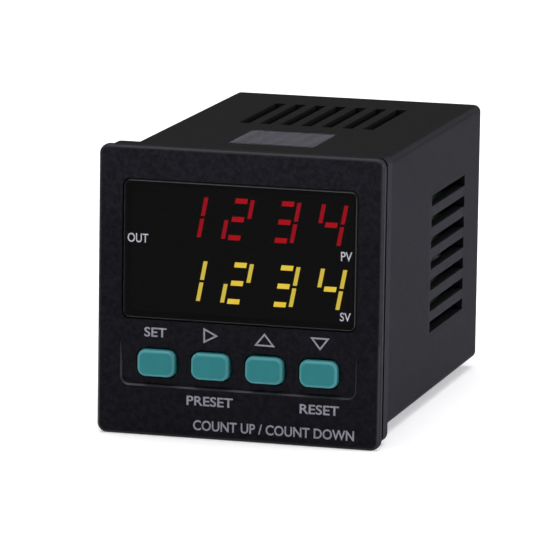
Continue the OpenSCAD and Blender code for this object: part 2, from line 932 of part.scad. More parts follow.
module transformer_bobbin() {
    bobbin_h = core_h - 2 * core_yoke - 2 * core_clear;
    color("#e8e2d0")
        on_left_card()
            translate([core_y, 0, core_yoke + core_clear]) {
                leg_ring(core_clear, core_clear + bobbin_t, bobbin_h);
                for (z = [0, bobbin_h - bobbin_t])
                    translate([0, 0, z])
                        leg_ring(core_clear, coil_grow, bobbin_t);
            }
}

module transformer_winding() {
    winding_h = core_h - 2 * core_yoke - 2 * core_clear - 2 * bobbin_t;
    color("#b06a34")
        on_left_card()
            translate([core_y, 0, core_yoke + core_clear + bobbin_t])
                leg_ring(core_clear + bobbin_t, coil_grow, winding_h);
}

// An electrolytic can with its crimp groove and rounded top
module capacitor_can(d, h) {
    groove_h = 0.16 * h;
    groove_r = 0.06 * d;
    top_r = 0.08 * d;
    rotate_extrude()
        difference() {
            shoulder_half(d / 2, h, top_r);
            translate([d / 2 + groove_r / 2, groove_h])
                circle(groove_r);
        }
}

module filter_capacitors() {
    spread = 0.6;
    small_d = capacitor_d * small_capacitor_ratio;
    color("#23324f")
        on_left_card() {
            translate([parts_y + capacitor_d / 2, -capacitor_d / 2 - spread, 0])
                capacitor_can(capacitor_d, capacitor_h);
            translate([parts_y + capacitor_d / 2, small_d / 2 + spread, 0])
                capacitor_can(small_d, capacitor_h * small_capacitor_ratio);
        }
}

module bridge_rectifier() {
    edge_r = 0.4;
    corner_r = 0.6;
    color("#1c1c1e")
        on_left_card()
            translate([parts_y + capacitor_d / 2, -capacitor_d - bridge_w, 0])
                soft_slab(bridge_l, bridge_w, corner_r, bridge_h, edge_r);
}

// A regulator lying on the card, with its metal tab under it
module voltage_regulator() {
    tab_t = regulator_h / 4;
    body_l = 0.7 * regulator_l;
    color("#1c1c1e")
        on_left_card()
            translate([parts_y + capacitor_d / 2, capacitor_d + regulator_w / 2, 0]) {
                translate([-regulator_l / 2, -regulator_w / 2, 0])
                    cube([regulator_l, regulator_w, tab_t]);
                translate([regulator_l / 2 - body_l, -regulator_w / 2, 0])
                    cube([body_l, regulator_w, regulator_h]);
            }
}

module output_relay() {
    edge_r = 0.6;
    corner_r = 0.9;
    color("#2c4a86")
        on_right_card()
            translate([parts_y + relay_d / 2, 0, 0])
                soft_slab(relay_d, relay_l, corner_r, relay_h, edge_r);
}

module microcontroller() {
    edge_r = 0.2;
    corner_r = 0.3;
    stand_off = 0.1;
    color("#1a1a1c")
        on_right_card()
            translate([card_y + chip_inset + chip_l / 2, 0, stand_off])
                soft_slab(chip_l, chip_w, corner_r, chip_h, edge_r);
}

// Bent leads down both sides of the microcontroller
module microcontroller_leads() {
    lead_t = lead_w * 0.6;
    bend = lead_reach / 2;
    shelf = chip_h / 2;
    color("#c8c8cc")
        on_right_card()
            translate([card_y + chip_inset + chip_l / 2, 0, 0])
                for (i = [0 : chip_leads - 1], side = [0, 1])
                    mirror([0, side, 0])
                        translate([(i - (chip_leads - 1) / 2) * lead_pitch - lead_w / 2, chip_w / 2, 0])
                            rotate([90, 0, 90])
                                linear_extrude(lead_w)
                                    polygon([
                                        [0, shelf],
                                        [bend - lead_t, shelf],
                                        [bend - lead_t, 0],
                                        [lead_reach, 0],
                                        [lead_reach, lead_t],
                                        [bend, lead_t],
                                        [bend, shelf + lead_t],
                                        [0, shelf + lead_t]
                                    ]);
}

module optocouplers() {
    edge_r = 0.2;
    corner_r = 0.3;
    spread = opto_w * 0.72;
    color("#ece8dc")
        on_right_card()
            for (side = [-1, 1])
                translate([
                    card_y + chip_inset + chip_l / 2 + side * spread,
                    chip_w / 2 + opto_l,
                    0
                ])
                    soft_slab(opto_w, opto_l, corner_r, opto_h, edge_r);
}

// Strips that hold the header pins against the front edges of the cards
module header_strips() {
    grip_clear = 0.02;
    bore_w = pin_w + 2 * grip_clear;
    strip_l = header_ways * header_pitch;
    color("#18181a")
        for (side = [0, 1])
            mirror([side, 0, 0])
                on_left_card()
                    difference() {
                        translate([card_y, -strip_l / 2, 0])
                            cube([header_w, strip_l, header_w]);
                        for (z = header_zs)
                            translate([card_y + header_w / 2, z, header_w / 2])
                                cube([header_w + 2 * cut, bore_w, bore_w], center = true);
                    }
}

// Angled pins from the display board, through a strip and down into a card
module header_pins() {
    sunk = 0.2;
    tail_out = 0.6;
    pin_end = display_board_y + sunk;
    bend = card_y + header_w + pin_w * 1.5;
    tail = board_t + tail_out;
    color("#cfae5a")
        for (side = [0, 1], z = header_zs)
            mirror([side, 0, 0])
                on_left_card()
                    translate([0, z - pin_w / 2, 0]) {
                        translate([pin_end, 0, header_w / 2 - pin_w / 2])
                            cube([bend - pin_end, pin_w, pin_w]);
                        translate([bend - pin_w, 0, -tail])
                            cube([pin_w, pin_w, tail + header_w / 2 + pin_w / 2]);
                    }
}

// A terminal block, drawn on the left: screwdriver holes and wire entries open to the rear
module terminal_block() {
    edge_r = 0.4;
    corner_r = 0.6;
    funnel = 0.5;
    lift = 0.01;
    cavity_d = clamp_d + clamp_clear;
    color("#1f6b4a")
        difference() {
            translate([-card_x + block_w / 2, 0, 0])
                facing_rear(block_y)
                    soft_slab(block_w, block_h, corner_r, block_d, edge_r);
            for (z = way_zs) {
                translate([-card_x + driver_in, 0, z]) {
                    facing_rear(block_y + clamp_d)
                        cylinder(h = block_d, d = driver_d);
                    facing_rear(block_end_y - funnel)
                        cylinder(h = funnel + lift, d1 = driver_d, d2 = driver_d + funnel);
                }
                translate([-card_x + entry_in - entry_w / 2, block_y + clamp_d, z - entry_w / 2])
                    cube([entry_w, block_d, entry_w]);
                translate([
                    -card_x + clamp_out - clamp_clear,
                    block_y - cut,
                    z - clamp_h / 2 - clamp_clear
                ])
                    cube([clamp_w + 2 * clamp_clear, cavity_d + cut, clamp_h + 2 * clamp_clear]);
            }
        }
}

module left_terminal_block() { terminal_block(); }

module right_terminal_block() {
    mirror([1, 0, 0])
        terminal_block();
}

// A clamp: a drilled cage with a wire passage, and a bent tail that is soldered into the card
module terminal_clamp() {
    step = 0.2;
    floor_t = 1;
    tail_out = 0.7;
    passage = entry_w - 2 * step;
    passage_d = clamp_d - floor_t;
    tail_end = board_t + tail_out;
    difference() {
        translate([-card_x + clamp_out, block_y, -clamp_h / 2])
            cube([clamp_w, clamp_d, clamp_h]);
        translate([-card_x + driver_in, 0, 0])
            facing_rear(block_y + floor_t)
                cylinder(h = clamp_d, d = screw_shank_d);
        translate([-card_x + entry_in - passage / 2, block_y + clamp_d - passage_d, -passage / 2])
            cube([passage, passage_d + cut, passage]);
    }
    translate([-card_x + driver_in - tail_t / 2, tail_y - tail_t / 2, -tail_t / 2])
        cube([tail_t, block_y - tail_y + tail_t, tail_t]);
    translate([-card_x - tail_end, tail_y - tail_t / 2, -tail_t / 2])
        cube([driver_in + tail_end, tail_t, tail_t]);
}

module terminal_clamps() {
    color("#b9b4a6")
        for (side = [0, 1], z = way_zs)
            mirror([side, 0, 0])
                translate([0, 0, z])
                    terminal_clamp();
}

// A slotted screw in its hole, its shank down in the clamp
module terminal_screw() {
    slot_w = 0.5;
    slot_d = 0.7;
    dome_r = 0.3;
    shank_end = 1.5;
    shank_end_y = block_y + shank_end;
    translate([-card_x + driver_in, 0, 0])
        facing_rear(shank_end_y)
            difference() {
                rotate_extrude() {
                    square([screw_shank_d / 2, screw_head_y - shank_end_y - dome_r]);
                    translate([0, screw_head_y - shank_end_y - screw_head_h])
                        shoulder_half(screw_head_d / 2, screw_head_h, dome_r);
                }
                translate([0, 0, screw_head_y - shank_end_y])
                    cube([screw_head_d + cut, slot_w, 2 * slot_d], center = true);
            }
}

module terminal_screws() {
    color("#c9c9cc")
        for (side = [0, 1], z = way_zs)
            mirror([side, 0, 0])
                translate([0, 0, z])
                    terminal_screw();
}

housing();
front_bezel();
display_lens();
set_key();
shift_key();
up_key();
down_key();
set_plunger();
shift_plunger();
up_plunger();
down_plunger();
tact_switches();
display_board();
count_display();
count_lit_bars();
count_dark_bars();
preset_display();
preset_lit_bars();
preset_dark_bars();
output_lamp();
power_board();
logic_board();
transformer_core();
transformer_bobbin();
transformer_winding();
filter_capacitors();
bridge_rectifier();
voltage_regulator();
output_relay();
microcontroller();
microcontroller_leads();
optocouplers();
header_strips();
header_pins();
left_terminal_block();
right_terminal_block();
terminal_clamps();
terminal_screws();
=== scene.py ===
"""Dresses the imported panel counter, prints its legends and sets the studio.

Lengths are millimetres in the part's own frame unless a name says otherwise: X runs to the right,
Z runs up and the front faces -Y. They become metres where a mesh is placed. Angles are degrees, and
the scale of a pattern is how often it repeats in a metre.
"""

import logging
import math
from dataclasses import dataclass, field
from enum import Enum

import bpy
from mathutils import Matrix, Vector


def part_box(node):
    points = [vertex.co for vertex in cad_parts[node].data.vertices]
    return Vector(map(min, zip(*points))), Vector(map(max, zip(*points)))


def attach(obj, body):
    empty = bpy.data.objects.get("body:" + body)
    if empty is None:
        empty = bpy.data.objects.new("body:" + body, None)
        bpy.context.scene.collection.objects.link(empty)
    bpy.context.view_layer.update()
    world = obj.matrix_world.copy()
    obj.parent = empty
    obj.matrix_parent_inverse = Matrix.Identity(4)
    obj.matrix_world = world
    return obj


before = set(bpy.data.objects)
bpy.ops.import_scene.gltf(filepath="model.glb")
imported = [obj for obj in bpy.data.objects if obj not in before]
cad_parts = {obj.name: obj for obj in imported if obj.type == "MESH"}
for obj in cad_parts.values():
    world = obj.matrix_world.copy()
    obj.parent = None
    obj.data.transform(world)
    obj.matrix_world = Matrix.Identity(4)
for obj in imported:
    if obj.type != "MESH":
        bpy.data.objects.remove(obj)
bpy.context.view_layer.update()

MM = 0.001
QUARTER_TURN = math.radians(90.0)
LOG = logging.getLogger("panel_counter")

# Most of a noise's values lie in this span.
NOISE_SPAN = (0.3, 0.7)
# A Wave node's bands turn by this many radians in a unit of its scale.
WAVE_RATE = 20.0
# The Mix node has a set of sockets for each kind of data. These are the ones for colours.
MIX_FIRST, MIX_SECOND, MIX_RESULT = 6, 7, 2

Colour = tuple[float, float, float]
Spot = tuple[float, float, float]
Point = tuple[float, float]
Span = tuple[float, float]
Limits = tuple[float | None, float | None, float | None]


class Body(Enum):
    """The bodies that new pieces ride on."""

    COUNTER = "counter"


class Surface(Enum):
    """The front surfaces that carry print, each with the node it lies on."""

    BEZEL = "front_bezel"
    LENS = "display_lens"


class Axis(Enum):
    """The ways in which bands can be spaced."""

    Y = "Y"
    Z = "Z"


class Graph:
    """A node tree with short ways to add and link its nodes."""

    def __init__(self, tree: bpy.types.NodeTree) -> None:
        """Keeps the tree that the other methods add to."""
        self.tree = tree

    def add(self, kind: str, values: dict | None = None, **settings: object) -> bpy.types.Node:
        """Adds a node.

        Args:
            kind: the node's type name.
            values: what to set or link on its input sockets, by socket name or number.
            settings: what to set on the node itself.

        Returns:
            The new node.
        """
        node = self.tree.nodes.new(kind)
        for name, value in settings.items():
            setattr(node, name, value)
        for key, value in (values or {}).items():
            self.feed(node.inputs[key], value)
        return node

    def feed(self, socket: bpy.types.NodeSocket, value: object) -> None:
        """Links an output to an input socket, or sets a plain value on it.

        Args:
            socket: the input socket.
            value: an output socket, a number, or a colour or vector.
        """
        if isinstance(value, bpy.types.NodeSocket):
            self.tree.links.new(value, socket)
        elif isinstance(value, tuple) and socket.type == "RGBA":
            socket.default_value = (*value, 1.0)
        else:
            socket.default_value = value

    def math(self, operation: str, first: object, second: object = 0.0) -> bpy.types.NodeSocket:
        """Adds a sum, product or other step on two numbers.

        Args:
            operation: the Math node's operation.
            first: the first number or socket.
            second: the second number or socket.

        Returns:
            The result's socket.
        """
        node = self.add("ShaderNodeMath", {0: first, 1: second}, operation=operation)
        return node.outputs[0]

    def remap(self, value: object, low: object, high: object, to_low: float = 0.0,
              to_high: float = 1.0) -> bpy.types.NodeSocket:
        """Stretches a range of a value onto another, with soft ends.

        Args:
            value: the socket to read.
            low: the value that gives to_low.
            high: the value that gives to_high.
            to_low: the result at low.
            to_high: the result at high.

        Returns:
            The result's socket.
        """
        node = self.add("ShaderNodeMapRange", {
            "Value": value, "From Min": low, "From Max": high, "To Min": to_low, "To Max": to_high,
        }, interpolation_type="SMOOTHSTEP")
        return node.outputs["Result"]

    def mix(self, share: object, first: object, second: object) -> bpy.types.NodeSocket:
        """Mixes two colours.

        Args:
            share: how much of the second colour there is.
            first: the colour at 0.
            second: the colour at 1.

        Returns:
            The mixed colour's socket.
        """
        values = {"Factor": share, MIX_FIRST: first, MIX_SECOND: second}
        return self.add("ShaderNodeMix", values, data_type="RGBA").outputs[MIX_RESULT]

    def place(self) -> bpy.types.NodeSocket:
        """Returns the point on the piece, in the part's own frame."""
        return self.add("ShaderNodeTexCoord").outputs["Object"]

    def axes(self) -> bpy.types.NodeOutputs:
        """Returns the X, Y and Z of the point on the piece."""
        return self.add("ShaderNodeSeparateXYZ", {0: self.place()}).outputs

    def product(self, *factors: object) -> bpy.types.NodeSocket:
        """Multiplies masks and numbers.

        Args:
            factors: one or more numbers or sockets.

        Returns:
            The product's socket.
        """
        result = factors[0]
        for factor in factors[1:]:
            result = self.math("MULTIPLY", result, factor)
        return result

    def bands(self, pitch: float, way: Axis, values: dict | None = None) -> bpy.types.NodeSocket:
        """Adds straight bands across the piece.

        Args:
            pitch: the pitch of the bands.
            way: the axis along which they are spaced.
            values: what else to set on the Wave node.

        Returns:
            The socket of the bands' height, from 0 to 1.
        """
        scale = 2 * math.pi / (WAVE_RATE * pitch * MM)
        node = self.add("ShaderNodeTexWave", {"Vector": self.place(), "Scale": scale, **(values or {})},
                        wave_type="BANDS", bands_direction=way.value)
        return node.outputs["Fac"]

    def bump(self, height: object, depth: float) -> bpy.types.NodeSocket:
        """Turns a height into a normal.

        Args:
            height: the height's socket, from 0 to 1.
            depth: how deep a height of 1 is.

        Returns:
            The normal's socket.
        """
        node = self.add("ShaderNodeBump", {"Strength": 1.0, "Distance": depth * MM, "Height": height})
        return node.outputs["Normal"]

    def principled(self, name: str, values: dict) -> None:
        """Adds the surface shader and joins it to the output.

        Args:
            name: the finish's name, for the node's label.
            values: what to set or link on the shader's sockets.
        """
        shader = self.add("ShaderNodeBsdfPrincipled", values, label=name)
        out = self.add("ShaderNodeOutputMaterial")
        self.tree.links.new(shader.outputs[0], out.inputs["Surface"])


def lighter(colour: Colour, lift: float) -> Colour:
    """Returns a colour made lighter, and no lighter than white."""
    return tuple(min(1.0, c * lift) for c in colour)


def new_material(name: str) -> tuple[bpy.types.Material, Graph]:
    """Makes an empty node material.

    Args:
        name: the material's name.

    Returns:
        The material and the graph of its nodes.
    """
    material = bpy.data.materials.new(name)
    material.use_nodes = True
    material.node_tree.nodes.clear()
    return material, Graph(material.node_tree)


@dataclass
class SharedEffects:
    """The node groups that several finishes place, each built once."""

    pit_detail: float = 2.0
    pit_sharpness: float = 0.6
    cloud_detail: float = 4.0
    cloud_sharpness: float = 0.65
    facing_down: Span = (-0.5, 0.0)
    smear_stretch: Spot = (0.4, 1.0, 1.6)
    smear_turn: float = 20.0
    smear_detail: float = 3.0
    smear_span: Span = (0.42, 0.72)

    def __post_init__(self) -> None:
        """Builds the groups."""
        self._skin = self._spark_skin()
        self._edges = self._rounded_edges()
        self._smears = self._handling_smears()

    def skin(self, graph: Graph, clouds: float, pits: float = 0.0) -> bpy.types.NodeOutputs:
        """Places the pitted skin in a material.

        Args:
            graph: the material's graph.
            clouds: the scale of its cloudy tone.
            pits: the scale of its pits, where they are used.

        Returns:
            The group's outputs, Height and Cloud.
        """
        values = {"Vector": graph.place(), "Pit scale": pits, "Cloud scale": clouds}
        return graph.add("ShaderNodeGroup", values, node_tree=self._skin).outputs

    def edges(self, graph: Graph, flat: float, rounded: float) -> bpy.types.NodeOutputs:
        """Places the masks of the rounded edges in a material.

        Args:
            graph: the material's graph.
            flat: how long the longest part of a normal is where a flat ends.
            rounded: how long it is where an edge counts in full.

        Returns:
            The group's outputs, Edge and Wiped.
        """
        values = {"Flat": flat, "Round": rounded}
        return graph.add("ShaderNodeGroup", values, node_tree=self._edges).outputs

    def smear(self, graph: Graph, scale: float) -> bpy.types.NodeSocket:
        """Places the smears in a material.

        Args:
            graph: the material's graph.
            scale: the scale of the smears.

        Returns:
            The socket of the smear mask.
        """
        values = {"Vector": graph.place(), "Scale": scale}
        return graph.add("ShaderNodeGroup", values, node_tree=self._smears).outputs["Smear"]

    @staticmethod
    def _group(name: str, inputs: dict[str, str], outputs: tuple[str, ...]) -> Graph:
        """Starts a group with its sockets.

        Args:
            name: the group's name.
            inputs: each input's socket type, by name.
            outputs: the names of the number outputs.

        Returns:
            The graph inside the group.
        """
        tree = bpy.data.node_groups.new(name, "ShaderNodeTree")
        for label, kind in inputs.items():
            tree.interface.new_socket(label, in_out="INPUT", socket_type=kind)
        for label in outputs:
            tree.interface.new_socket(label, in_out="OUTPUT", socket_type="NodeSocketFloat")
        return Graph(tree)

    def _spark_skin(self) -> bpy.types.NodeTree:
        """Builds the pitted skin that a spark-eroded mould leaves.

        Returns:
            A group with the skin's height and the cloudy tone over it.
        """
        graph = self._group("spark_skin", {
            "Vector": "NodeSocketVector", "Pit scale": "NodeSocketFloat",
            "Cloud scale": "NodeSocketFloat",
        }, ("Height", "Cloud"))
        start = graph.add("NodeGroupInput")
        pits = graph.add("ShaderNodeTexNoise", {
            "Vector": start.outputs["Vector"], "Scale": start.outputs["Pit scale"],
            "Detail": self.pit_detail, "Roughness": self.pit_sharpness,
        })
        cloud = graph.add("ShaderNodeTexNoise", {
            "Vector": start.outputs["Vector"], "Scale": start.outputs["Cloud scale"],
            "Detail": self.cloud_detail, "Roughness": self.cloud_sharpness,
        })
        graph.add("NodeGroupOutput", {
            "Height": pits.outputs["Fac"],
            "Cloud": graph.remap(cloud.outputs["Fac"], *NOISE_SPAN),
        })
        return graph.tree

    def _rounded_edges(self) -> bpy.types.NodeTree:
        """Builds the masks of the fillets on a squared piece, by how its surface is turned.

        Returns:
            A group with a mask that is 1 on the rounded edges and 0 on the flats, and the same
            without the edges that face down, which no cloth wipes bright.
        """
        graph = self._group("rounded_edges", {
            "Flat": "NodeSocketFloat", "Round": "NodeSocketFloat",
        }, ("Edge", "Wiped"))
        start = graph.add("NodeGroupInput")
        turned = graph.add("ShaderNodeNewGeometry").outputs["Normal"]
        size = graph.add("ShaderNodeVectorMath", {0: turned}, operation="ABSOLUTE")
        parts = graph.add("ShaderNodeSeparateXYZ", {0: size.outputs[0]})
        most = graph.math("MAXIMUM", parts.outputs[0], parts.outputs[1])
        most = graph.math("MAXIMUM", most, parts.outputs[2])
        edge = graph.remap(most, start.outputs["Flat"], start.outputs["Round"])
        rise = graph.add("ShaderNodeSeparateXYZ", {0: turned}).outputs[2]
        graph.add("NodeGroupOutput", {
            "Edge": edge, "Wiped": graph.product(edge, graph.remap(rise, *self.facing_down)),
        })
        return graph.tree

    def _handling_smears(self) -> bpy.types.NodeTree:
        """Builds the long faint smears that handling and wiping leave on a gloss.

        Returns:
            A group with a smear mask.
        """
        graph = self._group("handling_smears", {
            "Vector": "NodeSocketVector", "Scale": "NodeSocketFloat",
        }, ("Smear",))
        start = graph.add("NodeGroupInput")
        drawn = graph.add("ShaderNodeMapping", {
            "Vector": start.outputs["Vector"], "Scale": Vector(self.smear_stretch),
            "Rotation": Vector((0.0, math.radians(self.smear_turn), 0.0)),
        })
        noise = graph.add("ShaderNodeTexNoise", {
            "Vector": drawn.outputs[0], "Scale": start.outputs["Scale"], "Detail": self.smear_detail,
        })
        graph.add("NodeGroupOutput", {"Smear": graph.remap(noise.outputs["Fac"], *self.smear_span)})
        return graph.tree


EFFECTS = SharedEffects()


@dataclass(frozen=True)
class MouldedPlastic:
    """A moulded plastic with a spark-eroded skin, cloudy in tone, polished on its edges and with a
    painted highlight there.
    """

    name: str
    colour: Colour
    cloud_colour: Colour
    # The colour of the highlight painted on the rounded edges.
    edge_colour: Colour
    roughness: float = 0.5
    edge_roughness: float = 0.4
    gloss: float = 0.3
    pit: float = 0.16
    pit_depth: float = 0.02
    cloud: float = 1.2
    uneven: float = 0.05
    flat: float = 0.99
    rounded: float = 0.8
    shine: float = 0.0
    shine_roughness: float = 0.3

    def tone(self, graph: Graph, cloud: bpy.types.NodeSocket) -> bpy.types.NodeSocket:
        """Makes the plastic's own colour, before its edges.

        Args:
            graph: the material's graph.
            cloud: the cloudy mask over the skin.

        Returns:
            The colour's socket.
        """
        return graph.mix(cloud, self.colour, self.cloud_colour)

    def handled(self, graph: Graph, edge: bpy.types.NodeSocket) -> bpy.types.NodeSocket:
        """Returns the edges that get the polish and the painted highlight: here all of them."""
        return edge

    def material(self) -> bpy.types.Material:
        """Makes the material.

        Returns:
            The new material.
        """
        material, graph = new_material(self.name)
        skin = EFFECTS.skin(graph, 1 / (self.cloud * MM), 1 / (self.pit * MM))
        edges = EFFECTS.edges(graph, self.flat, self.rounded)
        edge = self.handled(graph, edges["Edge"])
        tone = self.tone(graph, skin["Cloud"])
        rough = graph.remap(skin["Height"], *NOISE_SPAN, self.roughness - self.uneven,
                            self.roughness + self.uneven)
        polish = graph.product(edge, self.roughness - self.edge_roughness)
        values = {
            # The rounded edges are painted lighter: a painted highlight on the fillets.
            "Base Color": graph.mix(edge, tone, self.edge_colour),
            "Roughness": graph.math("SUBTRACT", rough, polish),
            "Specular IOR Level": self.gloss,
            "Normal": graph.bump(skin["Height"], self.pit_depth),
        }
        if self.shine:
            wiped = self.handled(graph, edges["Wiped"])
            values["Coat Weight"] = graph.product(wiped, self.shine)
            values["Coat Roughness"] = self.shine_roughness
        graph.principled(self.name, values)
        return material


@dataclass(frozen=True)
class FacePlastic(MouldedPlastic):
    """The bezel's plastic: painted paler up its face as light from above, polished with a painted
    highlight on its rim and round its key recess.
    """

    # Where the edges get the polish and the painted highlight: the rim, and the front of the key
    # recess's lip, fainter towards the right across fade.
    window_foot: float = -6.5
    rim: float = 21.5
    rim_share: float = 0.4
    lip: float = 0.28
    fade: Span = (2.0, 19.0)
    faded: float = 0.7
    # Painted light: the face is painted paler towards its top, in these colours over this span of Z.
    worn_colour: Colour = (0.0050, 0.0046, 0.0074)
    worn_cloud_colour: Colour = (0.0142, 0.0134, 0.0192)
    worn: Span = (6.0, 23.0)

    def tone(self, graph: Graph, cloud: bpy.types.NodeSocket) -> bpy.types.NodeSocket:
        """Makes the plastic's colour, with painted light that makes it paler towards the top of the
        face.

        Args:
            graph: the material's graph.
            cloud: the cloudy mask over the skin.

        Returns:
            The colour's socket.
        """
        # Painted light from above: the face turns paler towards its top.
        start, end = self.worn
        worn = graph.remap(graph.axes()[2], start * MM, end * MM)
        top_lit_tone = graph.mix(cloud, self.worn_colour, self.worn_cloud_colour)
        return graph.mix(worn, super().tone(graph, cloud), top_lit_tone)

    def handled(self, graph: Graph, edge: bpy.types.NodeSocket) -> bpy.types.NodeSocket:
        """Keeps the edges that get the polish and the painted highlight: the rim, and the front of the
        lip below the keys.

        Args:
            graph: the material's graph.
            edge: the mask of all the edges.

        Returns:
            The mask without the edges of the window and of the key openings.
        """
        x, y, z = graph.axes()
        start, end = self.fade
        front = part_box(Surface.BEZEL.value)[0].y + self.lip * MM
        lip = graph.product(
            graph.remap(x, start * MM, end * MM, 1.0, self.faded),
            graph.math("LESS_THAN", y, front),
            graph.math("LESS_THAN", z, self.window_foot * MM))
        reach = graph.math("MAXIMUM", graph.math("ABSOLUTE", x), graph.math("ABSOLUTE", z))
        rim = graph.product(graph.math("GREATER_THAN", reach, self.rim * MM), self.rim_share)
        return graph.product(edge, graph.math("MAXIMUM", lip, rim))


@dataclass(frozen=True)
class Patch:
    """A part of a moulding painted in a tone of its own; on the housing these hold painted highlights,
    a painted side tint and painted shade.

    It is found by its distance from the middle along X and Z and by its place along Y, each at least
    or at most so much where a limit is given.
    """

    name: str
    colour: Colour
    least: Limits = (None, None, None)
    most: Limits = (None, None, None)

    def mask(self, graph: Graph) -> bpy.types.NodeSocket:
        """Makes the mask of the patch.

        Args:
            graph: the material's graph.

        Returns:
            A mask that is 1 on the patch.
        """
        x, y, z = graph.axes()
        places = (graph.math("ABSOLUTE", x), y, graph.math("ABSOLUTE", z))
        steps = []
        for operation, limits in (("GREATER_THAN", self.least), ("LESS_THAN", self.most)):
            for place, limit in zip(places, limits):
                if limit is not None:
                    steps.append(graph.math(operation, place, limit * MM))
        return graph.product(*steps)


@dataclass(frozen=True)
class PatchedPlastic(MouldedPlastic):
    """A moulded plastic with patches of other tones, each cloudy like the rest; on the housing these
    are painted light and shade.
    """

    patches: tuple[Patch, ...] = ()
    lift: float = 1.2

    def tone(self, graph: Graph, cloud: bpy.types.NodeSocket) -> bpy.types.NodeSocket:
        """Makes the plastic's colour, with its patches of painted light and shade.

        Args:
            graph: the material's graph.
            cloud: the cloudy mask over the skin.

        Returns:
            The colour's socket.
        """
        tone = super().tone(graph, cloud)
        for patch in self.patches:
            cloudy = graph.mix(cloud, patch.colour, lighter(patch.colour, self.lift))
            tone = graph.mix(patch.mask(graph), tone, cloudy)
            tone.node.label = patch.name
        return tone


@dataclass(frozen=True)
class SmokedLens:
    """The dark plastic of the display window, with a faint painted glow that stands in for its lit
    haze.
    """

    name: str = "smoked_window"
    tint: Colour = (0.050, 0.047, 0.046)
    refraction: float = 1.03
    haze: float = 0.0046
    smear_scale: float = 140.0
    smeared: float = 0.004

    def material(self) -> bpy.types.Material:
        """Makes the material.

        Returns:
            The new material.
        """
        material, graph = new_material(self.name)
        smear = EFFECTS.smear(graph, self.smear_scale)
        graph.principled(self.name, {
            "Base Color": self.tint,
            "Roughness": graph.remap(smear, 0.0, 1.0, 0.0, self.smeared),
            "IOR": self.refraction,
            "Transmission Weight": 1.0,
            # Painted light: a faint white glow over the window stands in for light scattered by its
            # haze.
            "Emission Color": (1.0, 1.0, 1.0),
            "Emission Strength": self.haze,
        })
        return material


@dataclass(frozen=True)
class LitBar:
    """The light bars of one row, whose level bars glow brighter than its upright ones."""

    name: str
    colour: Colour
    hot_colour: Colour
    upright_colour: Colour
    strength: float
    digits: int = 4
    slant: float = 10.5
    inside: float = 1.3
    grain_scale: float = 420.0
    grain_detail: float = 1.0
    hot_span: Span = (0.35, 0.7)
    roughness: Span = (0.35, 0.5)

    def _upright(self, graph: Graph, low: Vector, high: Vector) -> bpy.types.NodeSocket:
        """Makes the mask of the upright bars, which stand away from the middle of each digit.

        Args:
            graph: the material's graph.
            low: the lowest corner of the row's module.
            high: the highest corner of the row's module.

        Returns:
            A mask that is 1 on the upright bars.
        """
        pitch = (high.x - low.x) / self.digits
        x, _, z = graph.axes()
        rise = graph.math("SUBTRACT", z, (low.z + high.z) / 2)
        lean = graph.product(rise, math.tan(math.radians(self.slant)))
        along = graph.math("SUBTRACT", graph.math("SUBTRACT", x, low.x), lean)
        cell = graph.math("FRACT", graph.math("DIVIDE", along, pitch))
        away = graph.math("ABSOLUTE", graph.math("SUBTRACT", cell, 0.5))
        return graph.math("GREATER_THAN", away, self.inside * MM / pitch)

    def material(self, low: Vector, high: Vector) -> bpy.types.Material:
        """Makes the material.

        Args:
            low: the lowest corner of the row's module.
            high: the highest corner of the row's module.

        Returns:
            The new material.
        """
        material, graph = new_material(self.name)
        grain = graph.add("ShaderNodeTexNoise", {
            "Vector": graph.place(), "Scale": self.grain_scale, "Detail": self.grain_detail,
        }).outputs["Fac"]
        glow = graph.mix(graph.remap(grain, *self.hot_span), self.colour, self.hot_colour)
        glow = graph.mix(self._upright(graph, low, high), glow, self.upright_colour)
        graph.principled(self.name, {
            "Base Color": self.colour,
            "Roughness": graph.remap(grain, *NOISE_SPAN, *self.roughness),
            "Emission Color": glow,
            "Emission Strength": self.strength,
        })
        return material


@dataclass(frozen=True)
class PrintedInk:
    """Screen-printed ink, a little uneven where the mesh of the screen left it thin."""

    name: str
    colour: Colour
    thin_colour: Colour
    clouds: float = 2600.0
    pits: float = 9000.0
    pit_depth: float = 0.01
    roughness: Span = (0.5, 0.7)
    gloss: float = 0.25

    def material(self) -> bpy.types.Material:
        """Makes the material.

        Returns:
            The new material.
        """
        material, graph = new_material(self.name)
        skin = EFFECTS.skin(graph, self.clouds, self.pits)
        graph.principled(self.name, {
            "Base Color": graph.mix(skin["Cloud"], self.colour, self.thin_colour),
            "Roughness": graph.remap(skin["Height"], *NOISE_SPAN, *self.roughness),
            "Specular IOR Level": self.gloss,
            "Normal": graph.bump(skin["Height"], self.pit_depth),
        })
        return material


@dataclass(frozen=True)
class DrawnMetal:
    """A rolled, drawn or plated metal, with fine lines along one way and a dulled tone in patches."""

    name: str
    colour: Colour
    dull_colour: Colour
    roughness: float
    smoother: float = 0.06
    rougher: float = 0.1
    clouds: float = 700.0
    line_stretch: Spot = (1.0, 0.08, 1.0)
    line_scale: float = 9000.0
    line_detail: float = 2.0
    line_depth: float = 0.004

    def material(self) -> bpy.types.Material:
        """Makes the material.

        Returns:
            The new material.
        """
        material, graph = new_material(self.name)
        drawn = graph.add("ShaderNodeMapping", {
            "Vector": graph.place(), "Scale": Vector(self.line_stretch),
        })
        lines = graph.add("ShaderNodeTexNoise", {
            "Vector": drawn.outputs[0], "Scale": self.line_scale, "Detail": self.line_detail,
        }).outputs["Fac"]
        cloud = EFFECTS.skin(graph, self.clouds)["Cloud"]
        graph.principled(self.name, {
            "Base Color": graph.mix(cloud, self.colour, self.dull_colour),
            "Metallic": 1.0,
            "Roughness": graph.remap(lines, *NOISE_SPAN, self.roughness - self.smoother,
                                     self.roughness + self.rougher),
            "Normal": graph.bump(lines, self.line_depth),
        })
        return material


